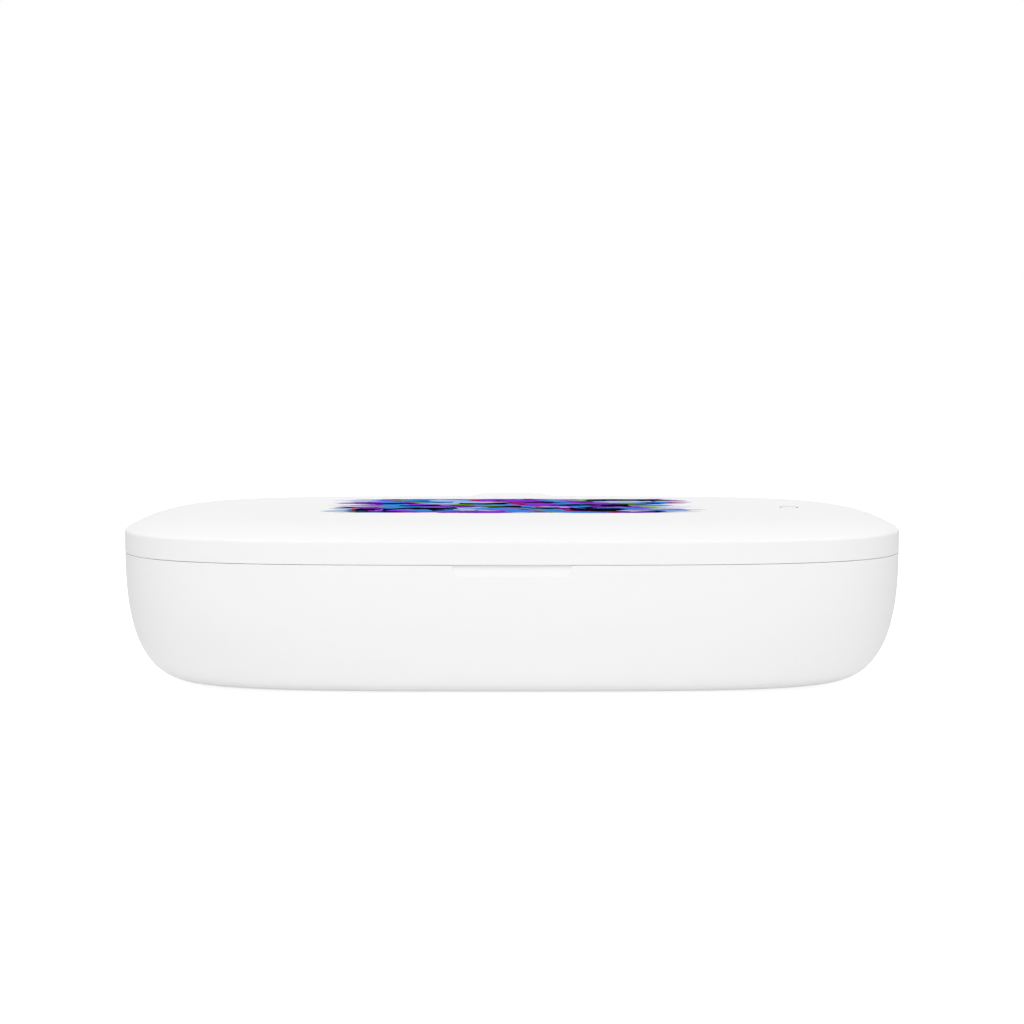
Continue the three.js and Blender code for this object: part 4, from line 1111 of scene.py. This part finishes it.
class BOX_OT_coil(bpy.types.Operator):
    """Winds the flat charging coil, as ridges of wire round its hole"""

    bl_idname = "sanitizer_box.coil"
    bl_label = "Charging coil"

    def execute(self, context):
        low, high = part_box("charging_coil")
        outer, inner, turns, groove, slack = (high.x - low.x) / 2, 10 * MM, 11, 0.45, 0.1 * MM
        pitch, half = (outer - inner) / turns, (high.z - low.z) / 2
        ridges = [(inner / 2, half * groove)]
        for k in range(turns):
            for share in shares(5)[:-1]:
                turn = math.pi * share
                rise = half * (groove + (1 - groove) * math.sin(turn))
                ridges.append((inner + pitch * (k + (1 - math.cos(turn)) / 2), rise))
        ridges.append((outer, half * groove))
        profile = [(size, half - rise) for size, rise in ridges]
        profile += [(size, half + rise) for size, rise in reversed(ridges)]
        hole = post("hole", inner - slack, -inner, inner, 0, 0, 96)
        place_copies(carve(turned("coil", profile, 96), hole), ["charging_coil"])
        return {"FINISHED"}


class BOX_OT_chips(bpy.types.Operator):
    """Dresses the two chips, each with a round dimple at its first pin"""

    bl_idname = "sanitizer_box.chips"
    bl_label = "Chips"

    def execute(self, context):
        inset, radius, depth, edge = 1.1 * MM, 0.4 * MM, 0.12 * MM, 0.05 * MM
        for node in CHIPS:
            low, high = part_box(node)
            x, y = low.x + inset, high.y - inset
            dimple = post("dimple", radius, high.z - depth, high.z + inset, x, y, 24)
            stand_for(soften(carve(merged_copy(node), dimple), edge), node)
        return {"FINISHED"}


class BOX_OT_leads(bpy.types.Operator):
    """Rounds the leads, whose packed tubes are coarse"""

    bl_idname = "sanitizer_box.leads"
    bl_label = "Leads"

    def execute(self, context):
        for node in LEADS:
            lead = merged_copy(node)
            modify(lead, "SUBSURF", levels=2, render_levels=2)
            bpy.ops.object.shade_smooth()
            stand_for(lead, node)
        return {"FINISHED"}


class BOX_OT_fittings(bpy.types.Operator):
    """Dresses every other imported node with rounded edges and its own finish"""

    bl_idname = "sanitizer_box.fittings"
    bl_label = "Fittings"

    def execute(self, context):
        for node in sorted(set(frame["nodes"]) - replaced):
            stand_for(soften(merged_copy(node), 0.12 * MM), node)
        return {"FINISHED"}


# Stage


def seen_or(finish, seen, light):
    """One level for what a viewer sees, also in mirrors and through glass, and one for the light itself."""
    path = finish.tree.nodes.new("ShaderNodeLightPath")
    camera, glossy, through = (
        Value(finish, path.outputs[ray]) for ray in ("Is Camera Ray", "Is Glossy Ray", "Is Transmission Ray")
    )
    share = camera.larger(glossy).larger(through)
    return light + (seen - light) * share


class BOX_OT_stage(bpy.types.Operator):
    """Sets up the ground, the light and the camera"""

    bl_idname = "sanitizer_box.stage"
    bl_label = "Stage"

    def execute(self, context):
        scene, stage = context.scene, context.scene.box_stage
        ground_size = 12
        pool_front, pool_radius = 150 * MM, 100 * MM
        # A painted shadow round the box's footprint: its half sizes and squareness, and the glow and seen level it
        # keeps.
        shadow_x, shadow_y, shadow_power = 92 * MM, 35 * MM, 4.0
        shadow_glow, shadow_seen = 0.85, 0.66
        clear_selection()
        bpy.ops.mesh.primitive_plane_add(size=ground_size, location=(0, 0, 0))
        ground = bpy.context.object
        ground.name = "ground"
        settle(ground)
        finish = Finish("ground_white", Base_Color=(0.8, 0.8, 0.8), Roughness=0.9, Specular_IOR_Level=0.0)
        x, y, _ = finish.parts(finish.at())
        # The ground glows more in a round patch in front of the box, a painted pool of light.
        front = y - (PLAN_Y - pool_front)
        falloff = (x * x + front * front) / (-(pool_radius**2))
        pool = finish.node("ShaderNodeMath", {"operation": "POWER"}, math.e, falloff) * stage.ground_pool
        # Near the box the ground's glow and what a viewer sees of it fall off, a painted shadow.
        far_x, far_y = x / shadow_x, (y - PLAN_Y) / shadow_y
        reach = far_x.math("POWER", shadow_power) + far_y.math("POWER", shadow_power)
        clear = reach.ramp(0.5, 1.5)
        glow = (pool + stage.ground_glow) * (shadow_glow + clear * (1 - shadow_glow))
        seen = stage.ground_seen * (shadow_seen + clear * (1 - shadow_seen))
        finish.set("Emission Color", seen_or(finish, seen, glow))
        finish.set("Emission Strength", 1.0)
        ground.data.materials.append(finish.material)

        world = bpy.data.worlds.new("white_room")
        scene.world = world
        world.use_nodes = True
        room = Nodes(world.node_tree, "Background")
        z = room.parts(room.node("ShaderNodeTexCoord"))[2]
        room.set("Color", seen_or(room, 1.0, z * z * stage.sky_above))
        room.set("Strength", 1.0)

        for name, energy, aim, spread in (
            ("top_lamp", stage.top_lamp, (0, 0.6, -0.8), 60),
            ("rear_lamp", stage.rear_lamp, (0, -1, 0), 12),
        ):
            data = bpy.data.lights.new(name, "SUN")
            data.energy = energy
            data.angle = math.radians(spread)
            lamp = bpy.data.objects.new(name, data)
            scene.collection.objects.link(lamp)
            lamp.rotation_euler = Vector(aim).to_track_quat("-Z", "Y").to_euler()
            # The low lamp is a rim light, and no surface mirrors it.
            lamp.visible_glossy = name != "rear_lamp"

        camera_data = bpy.data.cameras.new("camera")
        camera_data.lens = stage.camera_lens
        camera = bpy.data.objects.new("camera", camera_data)
        scene.collection.objects.link(camera)
        camera.location = (0, PLAN_Y - stage.camera_distance, stage.camera_height)
        camera.rotation_euler = (QUARTER - stage.camera_tilt, 0, 0)
        scene.camera = camera
        scene.view_settings.view_transform = "Standard"
        return {"FINISHED"}


# Panel and start


OPERATORS = (
    BOX_OT_bowl,
    BOX_OT_lid,
    BOX_OT_feet,
    BOX_OT_screws,
    BOX_OT_discs,
    BOX_OT_pin,
    BOX_OT_lamps,
    BOX_OT_coil,
    BOX_OT_chips,
    BOX_OT_leads,
    BOX_OT_fittings,
    BOX_OT_stage,
)


class BOX_PT_panel(bpy.types.Panel):
    """Lists the steps that build the box"""

    bl_label = "Sanitizer Box"
    bl_idname = "BOX_PT_panel"
    bl_space_type = "VIEW_3D"
    bl_region_type = "UI"
    bl_category = "Sanitizer Box"

    def draw(self, context):
        for group in (context.scene.box_sizes, context.scene.box_finishes, context.scene.box_stage):
            for key in group.bl_rna.properties.keys():
                if key not in ("rna_type", "name"):
                    self.layout.prop(group, key)
        for operator in OPERATORS:
            self.layout.operator(operator.bl_idname)


GROUPS = {"box_sizes": BoxSizes, "box_finishes": BoxFinishes, "box_stage": BoxStage}


def register():
    for group in GROUPS.values():
        bpy.utils.register_class(group)
    for key, group in GROUPS.items():
        setattr(bpy.types.Scene, key, bpy.props.PointerProperty(type=group))
    for operator in OPERATORS:
        bpy.utils.register_class(operator)
    bpy.utils.register_class(BOX_PT_panel)


def unregister():
    bpy.utils.unregister_class(BOX_PT_panel)
    for operator in reversed(OPERATORS):
        bpy.utils.unregister_class(operator)
    for key, group in GROUPS.items():
        delattr(bpy.types.Scene, key)
        bpy.utils.unregister_class(group)


def main():
    register()
    bpy.ops.sanitizer_box.bowl()
    bpy.ops.sanitizer_box.lid()
    bpy.ops.sanitizer_box.feet()
    bpy.ops.sanitizer_box.screws()
    bpy.ops.sanitizer_box.discs()
    bpy.ops.sanitizer_box.pin()
    bpy.ops.sanitizer_box.lamps()
    bpy.ops.sanitizer_box.coil()
    bpy.ops.sanitizer_box.chips()
    bpy.ops.sanitizer_box.leads()
    bpy.ops.sanitizer_box.fittings()
    bpy.ops.sanitizer_box.stage()


if __name__ == "__main__":
    main()
